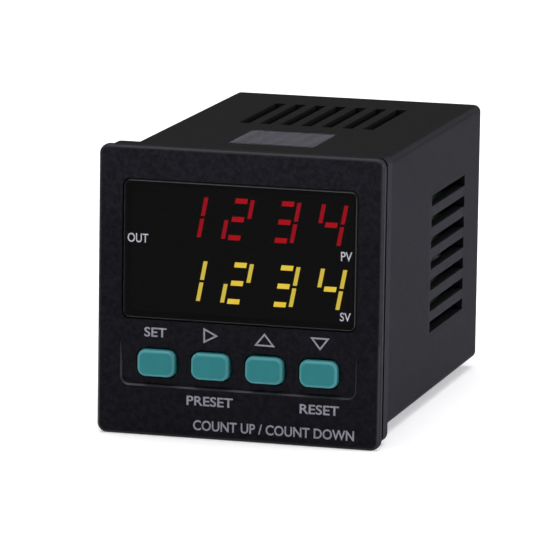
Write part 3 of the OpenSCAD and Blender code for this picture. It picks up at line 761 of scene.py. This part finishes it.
@dataclass(frozen=True)
class BoardLaminate:
    """Solder-masked laminate with tracks showing faintly through the mask."""

    name: str = "board_mask"
    mask: Colour = (0.004, 0.030, 0.012)
    track: Colour = (0.012, 0.07, 0.03)
    pitch: float = 1.27
    track_span: Span = (0.72, 0.8)
    track_height: float = 0.8
    clouds: float = 170.0
    pits: float = 5000.0
    relief: float = 0.02
    roughness: Span = (0.3, 0.42)

    def _runs(self, graph: Graph, way: Axis) -> bpy.types.NodeSocket:
        """Returns a mask that is 1 on the tracks that are spaced along one axis."""
        return graph.remap(graph.bands(self.pitch, way), *self.track_span)

    def material(self) -> bpy.types.Material:
        """Makes the material.

        Returns:
            The new material.
        """
        material, graph = new_material(self.name)
        skin = EFFECTS.skin(graph, self.clouds, self.pits)
        along = graph.product(self._runs(graph, Axis.Z), skin["Cloud"])
        rest = graph.math("SUBTRACT", 1.0, skin["Cloud"])
        across = graph.product(self._runs(graph, Axis.Y), rest)
        tracks = graph.math("MAXIMUM", along, across)
        height = graph.math("ADD", graph.product(tracks, self.track_height), skin["Height"])
        graph.principled(self.name, {
            "Base Color": graph.mix(tracks, self.mask, self.track),
            "Roughness": graph.remap(skin["Height"], *NOISE_SPAN, *self.roughness),
            "Normal": graph.bump(height, self.relief),
        })
        return material


@dataclass(frozen=True)
class StackedLines:
    """A surface of stacked layers or turns, darker in its grooves: dark joints between laminations, and
    painted shade between turns of wire wound side by side.
    """

    name: str
    colour: Colour
    groove_colour: Colour
    pitch: float
    way: Axis
    metal: float
    roughness: float
    wander: float = 0.4
    wander_detail: float = 1.0
    wander_scale: float = 0.5
    groove_span: Span = (0.35, 0.0)
    depth_share: float = 0.3
    smear_scale: float = 260.0
    smeared: float = 0.15

    def material(self) -> bpy.types.Material:
        """Makes the material.

        Returns:
            The new material.
        """
        material, graph = new_material(self.name)
        bands = graph.bands(self.pitch, self.way, {
            "Distortion": self.wander, "Detail": self.wander_detail,
            "Detail Scale": self.wander_scale,
        })
        groove = graph.remap(bands, *self.groove_span)
        smear = EFFECTS.smear(graph, self.smear_scale)
        graph.principled(self.name, {
            # The grooves are darker: dark joints between the laminations, and painted shade between the
            # wire's turns.
            "Base Color": graph.mix(groove, self.colour, self.groove_colour),
            "Metallic": self.metal,
            "Roughness": graph.remap(smear, 0.0, 1.0, self.roughness, self.roughness + self.smeared),
            "Normal": graph.bump(bands, self.pitch * self.depth_share),
        })
        return material


def plain_plastic(name: str, colour: Colour, cloud_lift: float = 1.12, edge_highlight_lift: float = 1.5,
                  **values: float) -> MouldedPlastic:
    """Names a moulded plastic by one colour, with its clouds a little lighter and a painted highlight
    on its edges.

    Args:
        name: the finish's name.
        colour: its colour.
        cloud_lift: how much lighter its clouds are.
        edge_highlight_lift: how much lighter its edges are.
        values: other values of the finish.

    Returns:
        The finish.
    """
    return MouldedPlastic(name, colour, lighter(colour, cloud_lift), lighter(colour, edge_highlight_lift),
                          **values)


def deselect() -> None:
    """Leaves object mode's selection empty."""
    bpy.ops.object.select_all(action="DESELECT")


def pick(*pieces: bpy.types.Object) -> None:
    """Selects some pieces and nothing else, with the first one active.

    Args:
        pieces: the pieces to select.
    """
    deselect()
    for piece in pieces:
        piece.select_set(True)
    bpy.context.view_layer.objects.active = pieces[0]


def apply_place() -> None:
    """Applies the place, turn and size of the selected pieces to their meshes."""
    bpy.ops.object.transform_apply(location=True, rotation=True, scale=True)


def dress(node: str, material: bpy.types.Material) -> None:
    """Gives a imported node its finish.

    Args:
        node: the node's name.
        material: the finish's material.
    """
    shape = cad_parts[node]
    shape.data.materials.clear()
    shape.data.materials.append(material)
    LOG.info("dressed %s in %s", node, material.name)


def settle(piece: bpy.types.Object, name: str, material: bpy.types.Material) -> None:
    """Applies a new piece's place to its mesh, names and dresses it, and lets it ride.

    Args:
        piece: the new piece, in its place.
        name: the piece's name.
        material: the finish's material.
    """
    pick(piece)
    apply_place()
    piece.name = name
    piece.data.name = name
    piece.data.materials.clear()
    piece.data.materials.append(material)
    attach(piece, Body.COUNTER.value)
    LOG.info("made %s, %d faces", name, len(piece.data.polygons))


def edit(piece: bpy.types.Object) -> None:
    """Enters edit mode on one piece, with all of it selected.

    Args:
        piece: the piece to shape.
    """
    pick(piece)
    bpy.ops.object.mode_set(mode="EDIT")
    bpy.ops.mesh.select_all(action="SELECT")


def leave_edit() -> None:
    """Turns every face outwards and leaves edit mode."""
    bpy.ops.mesh.select_all(action="SELECT")
    bpy.ops.mesh.normals_make_consistent(inside=False)
    bpy.ops.object.mode_set(mode="OBJECT")


def join(pieces: list[bpy.types.Object]) -> bpy.types.Object:
    """Joins copies of one shape into a single piece.

    Args:
        pieces: the copies, each with its own mesh.

    Returns:
        The joined piece.
    """
    pick(*pieces)
    apply_place()
    bpy.ops.object.join()
    return bpy.context.object


def extrude(step: Spot) -> None:
    """Extrudes the selected faces by a step in millimetres."""
    bpy.ops.mesh.extrude_region_move(TRANSFORM_OT_translate={"value": Vector(step) * MM})


def set_type(words: str, stroke: float = 0.0, centred: bool = False, half_depth: float = 0.5,
             curve_steps: int = 4) -> tuple[bpy.types.Object, Vector, Vector]:
    """Sets words in type, in the units of the type.

    Args:
        words: what it says.
        stroke: how much every stroke is widened.
        centred: whether the origin is in the middle of the words.
        half_depth: half the thickness of the letters.
        curve_steps: the number of steps in each curve of a letter.

    Returns:
        The words as a mesh, and the lowest and highest corners of its box.
    """
    deselect()
    bpy.ops.object.text_add(location=(0.0, 0.0, 0.0))
    word = bpy.context.object
    word.data.body = words
    word.data.offset = stroke
    word.data.extrude = half_depth
    word.data.resolution_u = curve_steps
    if centred:
        word.data.align_x = "CENTER"
        word.data.align_y = "CENTER"
    bpy.ops.object.convert(target="MESH")
    word = bpy.context.object
    sides = list(zip(*(v.co for v in word.data.vertices)))
    return word, Vector(map(min, sides)), Vector(map(max, sides))


@dataclass(frozen=True)
class Legend:
    """A printed word, fitted to its measured place on the front."""

    name: str
    words: str
    left: float
    right: float
    bottom: float
    top: float
    surface: Surface = Surface.BEZEL


@dataclass(frozen=True)
class ArrowMark:
    """A printed triangle outline, by its three outer corners on the front (X, Z)."""

    name: str
    corners: tuple[Point, Point, Point]


@dataclass
class FrontPrint:
    """The words and arrows printed on the bezel and on the display window."""

    ink: float = 0.02
    sunk: float = 0.005
    bezel_stroke: float = 0.016
    lens_stroke: float = 0.008
    line: float = 0.27
    legends: tuple[Legend, ...] = (
        Legend("legend_out", "OUT", -18.94, -15.44, 8.08, 9.58, Surface.LENS),
        Legend("legend_count", "PV", 17.06, 18.92, 7.03, 8.58, Surface.LENS),
        Legend("legend_preset_row", "SV", 17.06, 18.86, -2.82, -1.42, Surface.LENS),
        Legend("legend_set", "SET", -15.93, -12.13, -7.45, -5.87),
        Legend("legend_preset", "PRESET", -8.59, -0.73, -18.41, -16.81),
        Legend("legend_reset", "RESET", 10.57, 17.17, -18.51, -16.91),
        Legend("legend_direction", "COUNT UP / COUNT DOWN", -7.43, 19.77, -22.51, -20.81),
    )
    arrows: tuple[ArrowMark, ...] = (
        ArrowMark("arrow_shift", ((-5.88, -5.38), (-5.84, -7.94), (-3.37, -6.63))),
        ArrowMark("arrow_up", ((4.46, -5.64), (2.72, -7.78), (6.26, -7.85))),
        ArrowMark("arrow_down", ((12.13, -5.76), (13.84, -7.89), (15.42, -5.78))),
    )
    bezel_ink: PrintedInk = PrintedInk("bezel_ink", (0.36, 0.36, 0.42), (0.26, 0.26, 0.31))
    lens_ink: PrintedInk = PrintedInk("window_ink", (0.60, 0.60, 0.68), (0.50, 0.50, 0.58))

    def _face(self, surface: Surface) -> float:
        """Returns the Y of the surface that is printed on."""
        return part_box(surface.value)[0].y / MM

    def _word(self, legend: Legend) -> bpy.types.Object:
        """Sets a word in type and fits it to its place.

        Args:
            legend: the word and its place.

        Returns:
            The word as a mesh, in its place.
        """
        on_lens = legend.surface is Surface.LENS
        stroke = self.lens_stroke if on_lens else self.bezel_stroke
        word, low, high = set_type(legend.words, stroke)
        wide = (legend.right - legend.left) / (high.x - low.x)
        tall = (legend.top - legend.bottom) / (high.y - low.y)
        word.scale = Vector((wide, tall, self.ink)) * MM
        word.rotation_euler = (QUARTER_TURN, 0.0, 0.0)
        face = self._face(legend.surface)
        word.location = Vector((
            legend.left - low.x * wide, face - self.ink / 2 + self.sunk, legend.bottom - low.y * tall,
        )) * MM
        return word

    def _arrow(self, mark: ArrowMark) -> bpy.types.Object:
        """Draws a triangle's outline from a three-sided disc.

        Args:
            mark: the triangle's corners.

        Returns:
            The outline as a mesh, in its place.
        """
        deselect()
        bpy.ops.mesh.primitive_circle_add(vertices=3, radius=1.0, fill_type="NGON")
        arrow = bpy.context.object
        face = self._face(Surface.BEZEL) + self.sunk
        for vertex, (x, z) in zip(arrow.data.vertices, mark.corners):
            vertex.co = Vector((x, face, z)) * MM
        edit(arrow)
        bpy.ops.mesh.inset(thickness=self.line * MM, depth=0.0)
        bpy.ops.mesh.delete(type="FACE")
        bpy.ops.mesh.select_all(action="SELECT")
        extrude((0.0, -self.ink, 0.0))
        leave_edit()
        return arrow

    def build(self) -> None:
        """Prints every word and arrow."""
        inks = {
            Surface.BEZEL: self.bezel_ink.material(),
            Surface.LENS: self.lens_ink.material(),
        }
        for legend in self.legends:
            settle(self._word(legend), legend.name, inks[legend.surface])
        for mark in self.arrows:
            settle(self._arrow(mark), mark.name, inks[Surface.BEZEL])


@dataclass
class WindowEdge:
    """The ground edge of the display window, which catches the light all round it."""

    bevel: float = 0.2
    corner: float = 1.1
    segments: int = 8
    skin: float = 0.02
    finish: MouldedPlastic = MouldedPlastic(
        # The third colour is the highlight painted on the rounded edges.
        "ground_edge", (0.013, 0.013, 0.015), (0.018, 0.018, 0.021), (0.017, 0.017, 0.020),
        roughness=0.45, edge_roughness=0.4, gloss=0.2, pit=0.1, pit_depth=0.01, cloud=0.6,
        shine=0.9)

    def build(self) -> None:
        """Models the edge as a thin skin over the window's bevel."""
        low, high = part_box(Surface.LENS.value)
        size, middle = high - low, (low + high) / 2
        deselect()
        bpy.ops.mesh.primitive_plane_add(size=1.0, rotation=(QUARTER_TURN, 0.0, 0.0))
        edge = bpy.context.object
        edge.scale = Vector((size.x, size.z, 1.0))
        edge.location = Vector((middle.x, low.y + self.bevel * MM, middle.z))
        apply_place()
        edit(edge)
        bpy.ops.mesh.bevel(offset=self.corner * MM, segments=self.segments, affect="VERTICES")
        bpy.ops.mesh.select_all(action="SELECT")
        bpy.ops.mesh.inset(thickness=self.bevel * MM, depth=self.bevel * MM)
        bpy.ops.mesh.delete(type="FACE")
        bpy.ops.object.mode_set(mode="OBJECT")
        wall = edge.modifiers.new("wall", "SOLIDIFY")
        wall.thickness = self.skin * MM
        wall.offset = 1.0
        bpy.ops.object.modifier_apply(modifier=wall.name)
        settle(edge, "window_edge", self.finish.material())


@dataclass
class Enclosure:
    """The housing, the bezel and the window."""

    shell: PatchedPlastic = PatchedPlastic(
        # The third colour is the highlight painted on the rounded edges.
        "housing_black", (0.0075, 0.0074, 0.0079), (0.0090, 0.0089, 0.0095), (0.018, 0.018, 0.020),
        roughness=0.7, edge_roughness=0.5, gloss=0.06, pit=0.14, pit_depth=0.02, cloud=2.5,
        patches=(
            # Painted tint: the sides are painted bluish in place of the side lamp's lilac light.
            Patch("sides", (0.0073, 0.0070, 0.0107), least=(21.6, None, None)),
            # Painted highlight: the slats between the side vents are painted lighter than the rest of
            # the side.
            Patch("painted highlight on the slats between the side vents", (0.0126, 0.0121, 0.0166),
                  least=(21.6, 32.6, None), most=(None, 56.4, 10.8)),
            # Painted highlight: the sides of the flange are painted lighter, as if more exposed to the
            # side light.
            Patch("painted highlight on the sides of the flange", (0.0150, 0.0143, 0.0205), least=(23.0, None, None)),
            # Painted shade: the groove behind the bezel is painted near-black.
            Patch("painted shade in the groove behind the bezel", (0.0006, 0.0006, 0.0007), most=(None, -2.95, None)),
            # Painted highlight: the tooth field is painted pale, standing in for the overhead light
            # that its flanks reflect.
            Patch("clamp teeth", (0.43, 0.42, 0.50),
                  least=(None, 11.6, 21.85), most=(7.3, 26.0, None)),
        ))
    face: FacePlastic = FacePlastic(
        # The third colour is the highlight painted on the rounded edges of the rim and the lip.
        "bezel_black", (0.0020, 0.0017, 0.0032), (0.0086, 0.0079, 0.0126), (0.036, 0.036, 0.042),
        roughness=0.55, edge_roughness=0.4, gloss=0.07, pit=0.16, pit_depth=0.02, cloud=0.75,
        shine=0.4, shine_roughness=0.42)
    window: SmokedLens = SmokedLens()

    def dress(self) -> None:
        """Dresses the three nodes."""
        dress("housing", self.shell.material())
        dress(Surface.BEZEL.value, self.face.material())
        dress(Surface.LENS.value, self.window.material())


@dataclass
class KeyRow:
    """The four keys, their plungers and the push switches behind them."""

    names: tuple[str, ...] = ("set", "shift", "up", "down")
    cap: MouldedPlastic = MouldedPlastic(
        # The third colour, a lighter teal, is the highlight painted on the caps' rounded edges.
        "key_teal", (0.0135, 0.207, 0.226), (0.017, 0.228, 0.247), (0.085, 0.34, 0.36),
        roughness=0.5, edge_roughness=0.4, gloss=0.3, pit=0.2, pit_depth=0.01, cloud=3.0)
    stem: MouldedPlastic = plain_plastic("plunger_natural", (0.60, 0.57, 0.50))
    switch: MouldedPlastic = plain_plastic("switch_black", (0.014, 0.014, 0.015))

    def dress(self) -> None:
        """Dresses the caps, the plungers and the switches."""
        cap, stem = self.cap.material(), self.stem.material()
        for name in self.names:
            dress(f"{name}_key", cap)
            dress(f"{name}_plunger", stem)
        dress("tact_switches", self.switch.material())


@dataclass
class Displays:
    """The two display modules, their bars and the output lamp."""

    red: LitBar = LitBar(
        "bar_red", (1.0, 0.002, 0.014), (1.0, 0.005, 0.019), (0.78, 0.003, 0.025), 7.1)
    yellow: LitBar = LitBar(
        "bar_yellow", (1.0, 0.73, 0.055), (1.0, 0.81, 0.085), (0.80, 0.64, 0.08), 15.0)
    dark: MouldedPlastic = plain_plastic("bar_dark", (0.016, 0.012, 0.011), roughness=0.4)
    shell: MouldedPlastic = plain_plastic("module_black", (0.005, 0.005, 0.006), roughness=0.6)
    lamp: MouldedPlastic = plain_plastic("lamp_red_diffused", (0.05, 0.005, 0.006), roughness=0.3)

    def dress(self) -> None:
        """Dresses the modules, the bars and the lamp."""
        shell, dark = self.shell.material(), self.dark.material()
        for row, lit in (("count", self.red), ("preset", self.yellow)):
            dress(f"{row}_display", shell)
            dress(f"{row}_dark_bars", dark)
            dress(f"{row}_lit_bars", lit.material(*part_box(f"{row}_display")))
        dress("output_lamp", self.lamp.material())


@dataclass
class Electronics:
    """The boards and what stands on them."""

    board: BoardLaminate = BoardLaminate()
    core: StackedLines = StackedLines(
        "core_laminations", (0.15, 0.15, 0.16), (0.02, 0.018, 0.017), 0.5, Axis.Z, 0.8, 0.42)
    winding: StackedLines = StackedLines(
        "winding_copper", (0.42, 0.13, 0.045), (0.08, 0.02, 0.01), 0.3, Axis.Z, 0.6, 0.3)
    gold: DrawnMetal = DrawnMetal("pin_gold", (0.78, 0.56, 0.22), (0.62, 0.42, 0.16), 0.28)
    tin: DrawnMetal = DrawnMetal("lead_tinned", (0.68, 0.68, 0.66), (0.5, 0.5, 0.5), 0.34)
    plastics: dict[str, MouldedPlastic] = field(default_factory=lambda: {
        "transformer_bobbin": plain_plastic("bobbin_natural", (0.66, 0.60, 0.46)),
        "filter_capacitors": plain_plastic("sleeve_blue_black", (0.012, 0.022, 0.055),
                                           roughness=0.3, gloss=0.5, pit_depth=0.004),
        "bridge_rectifier": plain_plastic("rectifier_epoxy", (0.011, 0.011, 0.012)),
        "voltage_regulator": plain_plastic("regulator_epoxy", (0.012, 0.012, 0.013)),
        "output_relay": plain_plastic("relay_blue", (0.020, 0.060, 0.220), roughness=0.35,
                                      gloss=0.5, pit_depth=0.006),
        "microcontroller": plain_plastic("chip_epoxy", (0.010, 0.010, 0.011)),
        "optocouplers": plain_plastic("opto_pale", (0.52, 0.50, 0.44)),
        "header_strips": plain_plastic("header_black", (0.012, 0.012, 0.013)),
    })

    def dress(self) -> None:
        """Dresses the boards and their components."""
        board = self.board.material()
        for node in ("display_board", "power_board", "logic_board"):
            dress(node, board)
        dress("transformer_core", self.core.material())
        dress("transformer_winding", self.winding.material())
        dress("header_pins", self.gold.material())
        dress("microcontroller_leads", self.tin.material())
        for node, finish in self.plastics.items():
            dress(node, finish.material())


@dataclass
class SolderJoints:
    """The solder that holds the header pins and the terminal tails on the outer faces of the cards.

    A joint is drawn up in steps, each with its rise and its taper.
    """

    foot: float = 0.8
    sides: int = 14
    steps: tuple[Point, ...] = ((0.10, 0.80), (0.16, 0.78), (0.24, 0.84), (0.06, 0.60))
    smooth_angle: float = 50.0
    pin_row: float = 8.14
    pin_count: int = 10
    pin_pitch: float = 2.54
    tail_row: float = 55.4
    tail_count: int = 6
    tail_pitch: float = 5.08
    finish: DrawnMetal = DrawnMetal("solder_dull", (0.34, 0.34, 0.35), (0.24, 0.24, 0.25), 0.42)

    def _joint(self) -> bpy.types.Object:
        """Models one joint: a flared foot drawn up round a pin.

        Returns:
            The joint, at the origin, standing up along Z.
        """
        deselect()
        bpy.ops.mesh.primitive_circle_add(
            vertices=self.sides, radius=self.foot * MM, fill_type="NGON")
        joint = bpy.context.object
        edit(joint)
        for rise, taper in self.steps:
            extrude((0.0, 0.0, rise))
            bpy.ops.transform.resize(value=(taper, taper, 1.0))
        leave_edit()
        bpy.ops.object.shade_smooth_by_angle(angle=math.radians(self.smooth_angle))
        return joint

    def _places(self) -> list[Point]:
        """Returns the joints' places along Y and Z on a card."""
        rows = (
            (self.pin_row, self.pin_count, self.pin_pitch),
            (self.tail_row, self.tail_count, self.tail_pitch),
        )
        return [(along, (i - (count - 1) / 2) * pitch)
                for along, count, pitch in rows for i in range(count)]

    def build(self) -> None:
        """Sets a joint on every pin and tail of both cards."""
        first = self._joint()
        material = self.finish.material()
        for node, side in (("power_board", -1), ("logic_board", 1)):
            low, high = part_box(node)
            face = low.x if side < 0 else high.x
            copies = []
            for along, up in self._places():
                copy = first.copy()
                copy.data = first.data.copy()
                copy.rotation_euler = (0.0, QUARTER_TURN * side, 0.0)
                copy.location = Vector((face, along * MM, up * MM))
                bpy.context.scene.collection.objects.link(copy)
                copies.append(copy)
            settle(join(copies), f"{node}_solder", material)
        bpy.data.objects.remove(first)


@dataclass
class TerminalNumbers:
    """The numbers moulded on the housing's rear beside the terminals."""

    count: int = 6
    pitch: float = 5.08
    offset: float = 19.3
    height: float = 1.9
    raised: float = 0.16
    sunk: float = 0.02
    finish: PrintedInk = PrintedInk("number_white", (0.42, 0.42, 0.44), (0.34, 0.34, 0.36))

    def _number(self, number: int, across: float, up: float) -> bpy.types.Object:
        """Sets one number in type, facing the rear.

        Args:
            number: the terminal's number.
            across: the number's middle along X.
            up: the number's middle along Z.

        Returns:
            The number as a mesh, in its place.
        """
        word, low, high = set_type(str(number), centred=True)
        grow = self.height / (high.y - low.y)
        word.scale = Vector((grow, grow, self.raised)) * MM
        word.rotation_euler = (QUARTER_TURN, 0.0, 2 * QUARTER_TURN)
        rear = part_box("housing")[1].y
        lift = (self.raised / 2 - self.sunk) * MM
        word.location = Vector((across * MM, rear + lift, up * MM))
        return word

    def build(self) -> None:
        """Sets the numbers down both columns, counted from the top."""
        words = []
        for column, side in enumerate((1, -1)):
            for row in range(self.count):
                up = ((self.count - 1) / 2 - row) * self.pitch
                number = column * self.count + row + 1
                words.append(self._number(number, side * self.offset, up))
        settle(join(words), "terminal_numbers", self.finish.material())


@dataclass
class Terminals:
    """The rear terminal blocks with their clamps and screws."""

    block: MouldedPlastic = plain_plastic("terminal_black", (0.016, 0.016, 0.018), roughness=0.5)
    clamp: DrawnMetal = DrawnMetal("clamp_nickel", (0.56, 0.54, 0.50), (0.42, 0.40, 0.37), 0.3)
    screw: DrawnMetal = DrawnMetal("screw_zinc", (0.58, 0.58, 0.60), (0.42, 0.42, 0.44), 0.32)

    def dress(self) -> None:
        """Dresses the blocks, the clamps and the screws."""
        block = self.block.material()
        dress("left_terminal_block", block)
        dress("right_terminal_block", block)
        dress("terminal_clamps", self.clamp.material())
        dress("terminal_screws", self.screw.material())


@dataclass(frozen=True)
class Softbox:
    """A square soft lamp that looks at the object."""

    name: str
    place: Spot
    size: float
    watts: float
    tint: Colour = (1.0, 1.0, 1.0)


@dataclass
class Studio:
    """The floor, the lamps, the surrounding light and the camera at the photograph's angle."""

    boxes: tuple[Softbox, ...] = (
        Softbox("overhead_box", (-100.0, 100.0, 2000.0), 2400.0, 55.0),
        Softbox("side_box", (760.0, 160.0, 200.0), 420.0, 4.2, (1.0, 0.97, 1.08)),
        Softbox("front_box", (-420.0, -720.0, 420.0), 420.0, 1.8),
    )
    aim: Spot = (0.0, 25.0, 0.0)
    floor_colour: Colour = (0.86, 0.86, 0.86)
    floor_shade: Colour = (0.8471, 0.8471, 0.8471)
    floor_clouds: float = 12.0
    floor_roughness: float = 0.9
    floor_gloss: float = 0.1
    floor_reach: float = 6000.0
    floor_lift: float = 0.35
    around: Colour = (0.10, 0.10, 0.10)
    focal_pixels: float = 5402.0
    picture_height: float = 560.0
    sensor: float = 36.0
    azimuth: float = 15.28
    elevation: float = 10.23
    roll: float = 0.85
    distance: float = 879.0
    shift_right: float = 4.76
    shift_up: float = 2.68
    fit_plane: float = -6.0

    def _floor(self) -> None:
        """Lays the floor under the bezel's lower edge."""
        deselect()
        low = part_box(Surface.BEZEL.value)[0].z
        bpy.ops.mesh.primitive_plane_add(size=self.floor_reach * MM, location=(0.0, 0.0, low))
        floor = bpy.context.object
        floor.name = "floor"
        material, graph = new_material("floor_paper")
        cloud = EFFECTS.skin(graph, self.floor_clouds)["Cloud"]
        rays = graph.add("ShaderNodeLightPath").outputs
        seen = graph.math("MAXIMUM", rays["Is Camera Ray"], rays["Is Glossy Ray"])
        seen = graph.math("MAXIMUM", seen, rays["Is Transmission Ray"])
        graph.principled("floor_paper", {
            "Base Color": graph.mix(cloud, self.floor_colour, self.floor_shade),
            "Roughness": self.floor_roughness,
            "Specular IOR Level": self.floor_gloss,
            "Emission Color": (1.0, 1.0, 1.0),
            "Emission Strength": graph.product(seen, self.floor_lift),
        })
        floor.data.materials.append(material)

    def _lamps(self) -> None:
        """Hangs the soft lamps."""
        for box in self.boxes:
            data = bpy.data.lights.new(box.name, "AREA")
            data.shape = "SQUARE"
            data.size = box.size * MM
            data.energy = box.watts
            data.color = box.tint
            lamp = bpy.data.objects.new(box.name, data)
            lamp.location = Vector(box.place) * MM
            away = Vector(box.place) - Vector(self.aim)
            lamp.rotation_euler = away.to_track_quat("Z", "Y").to_euler()
            bpy.context.scene.collection.objects.link(lamp)

    def _surroundings(self) -> None:
        """Sets the even light that comes from all round."""
        world = bpy.data.worlds.new("studio")
        bpy.context.scene.world = world
        world.use_nodes = True
        world.node_tree.nodes.clear()
        graph = Graph(world.node_tree)
        light = graph.add("ShaderNodeBackground", {"Color": self.around, "Strength": 1.0})
        out = graph.add("ShaderNodeOutputWorld")
        world.node_tree.links.new(light.outputs[0], out.inputs["Surface"])

    def _camera(self) -> None:
        """Sets the camera that was fitted to the photograph's edges."""
        turn, rise, lean = (math.radians(v) for v in (self.azimuth, self.elevation, self.roll))
        back = Vector((math.sin(turn) * math.cos(rise), -math.cos(turn) * math.cos(rise),
                       math.sin(rise)))
        level = Vector((math.cos(turn), math.sin(turn), 0.0))
        above = back.cross(level)
        right = level * math.cos(lean) + above * math.sin(lean)
        up = above * math.cos(lean) - level * math.sin(lean)
        centre = Vector((0.0, self.fit_plane * MM, 0.0))
        place = (right * self.shift_right + up * self.shift_up + back * self.distance) * MM
        data = bpy.data.cameras.new("photo_camera")
        data.sensor_width = self.sensor
        data.lens = self.focal_pixels / self.picture_height * self.sensor
        camera = bpy.data.objects.new("photo_camera", data)
        axes = Matrix((right, up, back)).transposed().to_4x4()
        camera.matrix_world = Matrix.Translation(centre + place) @ axes
        bpy.context.scene.collection.objects.link(camera)
        bpy.context.scene.camera = camera

    def build(self) -> None:
        """Sets up the whole studio."""
        bpy.context.scene.view_settings.view_transform = "Standard"
        self._floor()
        self._lamps()
        self._surroundings()
        self._camera()


def main() -> None:
    """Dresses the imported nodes, adds the new pieces and sets the studio."""
    logging.basicConfig(level=logging.INFO, format="%(name)s: %(message)s")
    Studio().build()
    Enclosure().dress()
    KeyRow().dress()
    Displays().dress()
    Electronics().dress()
    Terminals().dress()
    WindowEdge().build()
    SolderJoints().build()
    TerminalNumbers().build()
    FrontPrint().build()


if __name__ == "__main__":
    main()
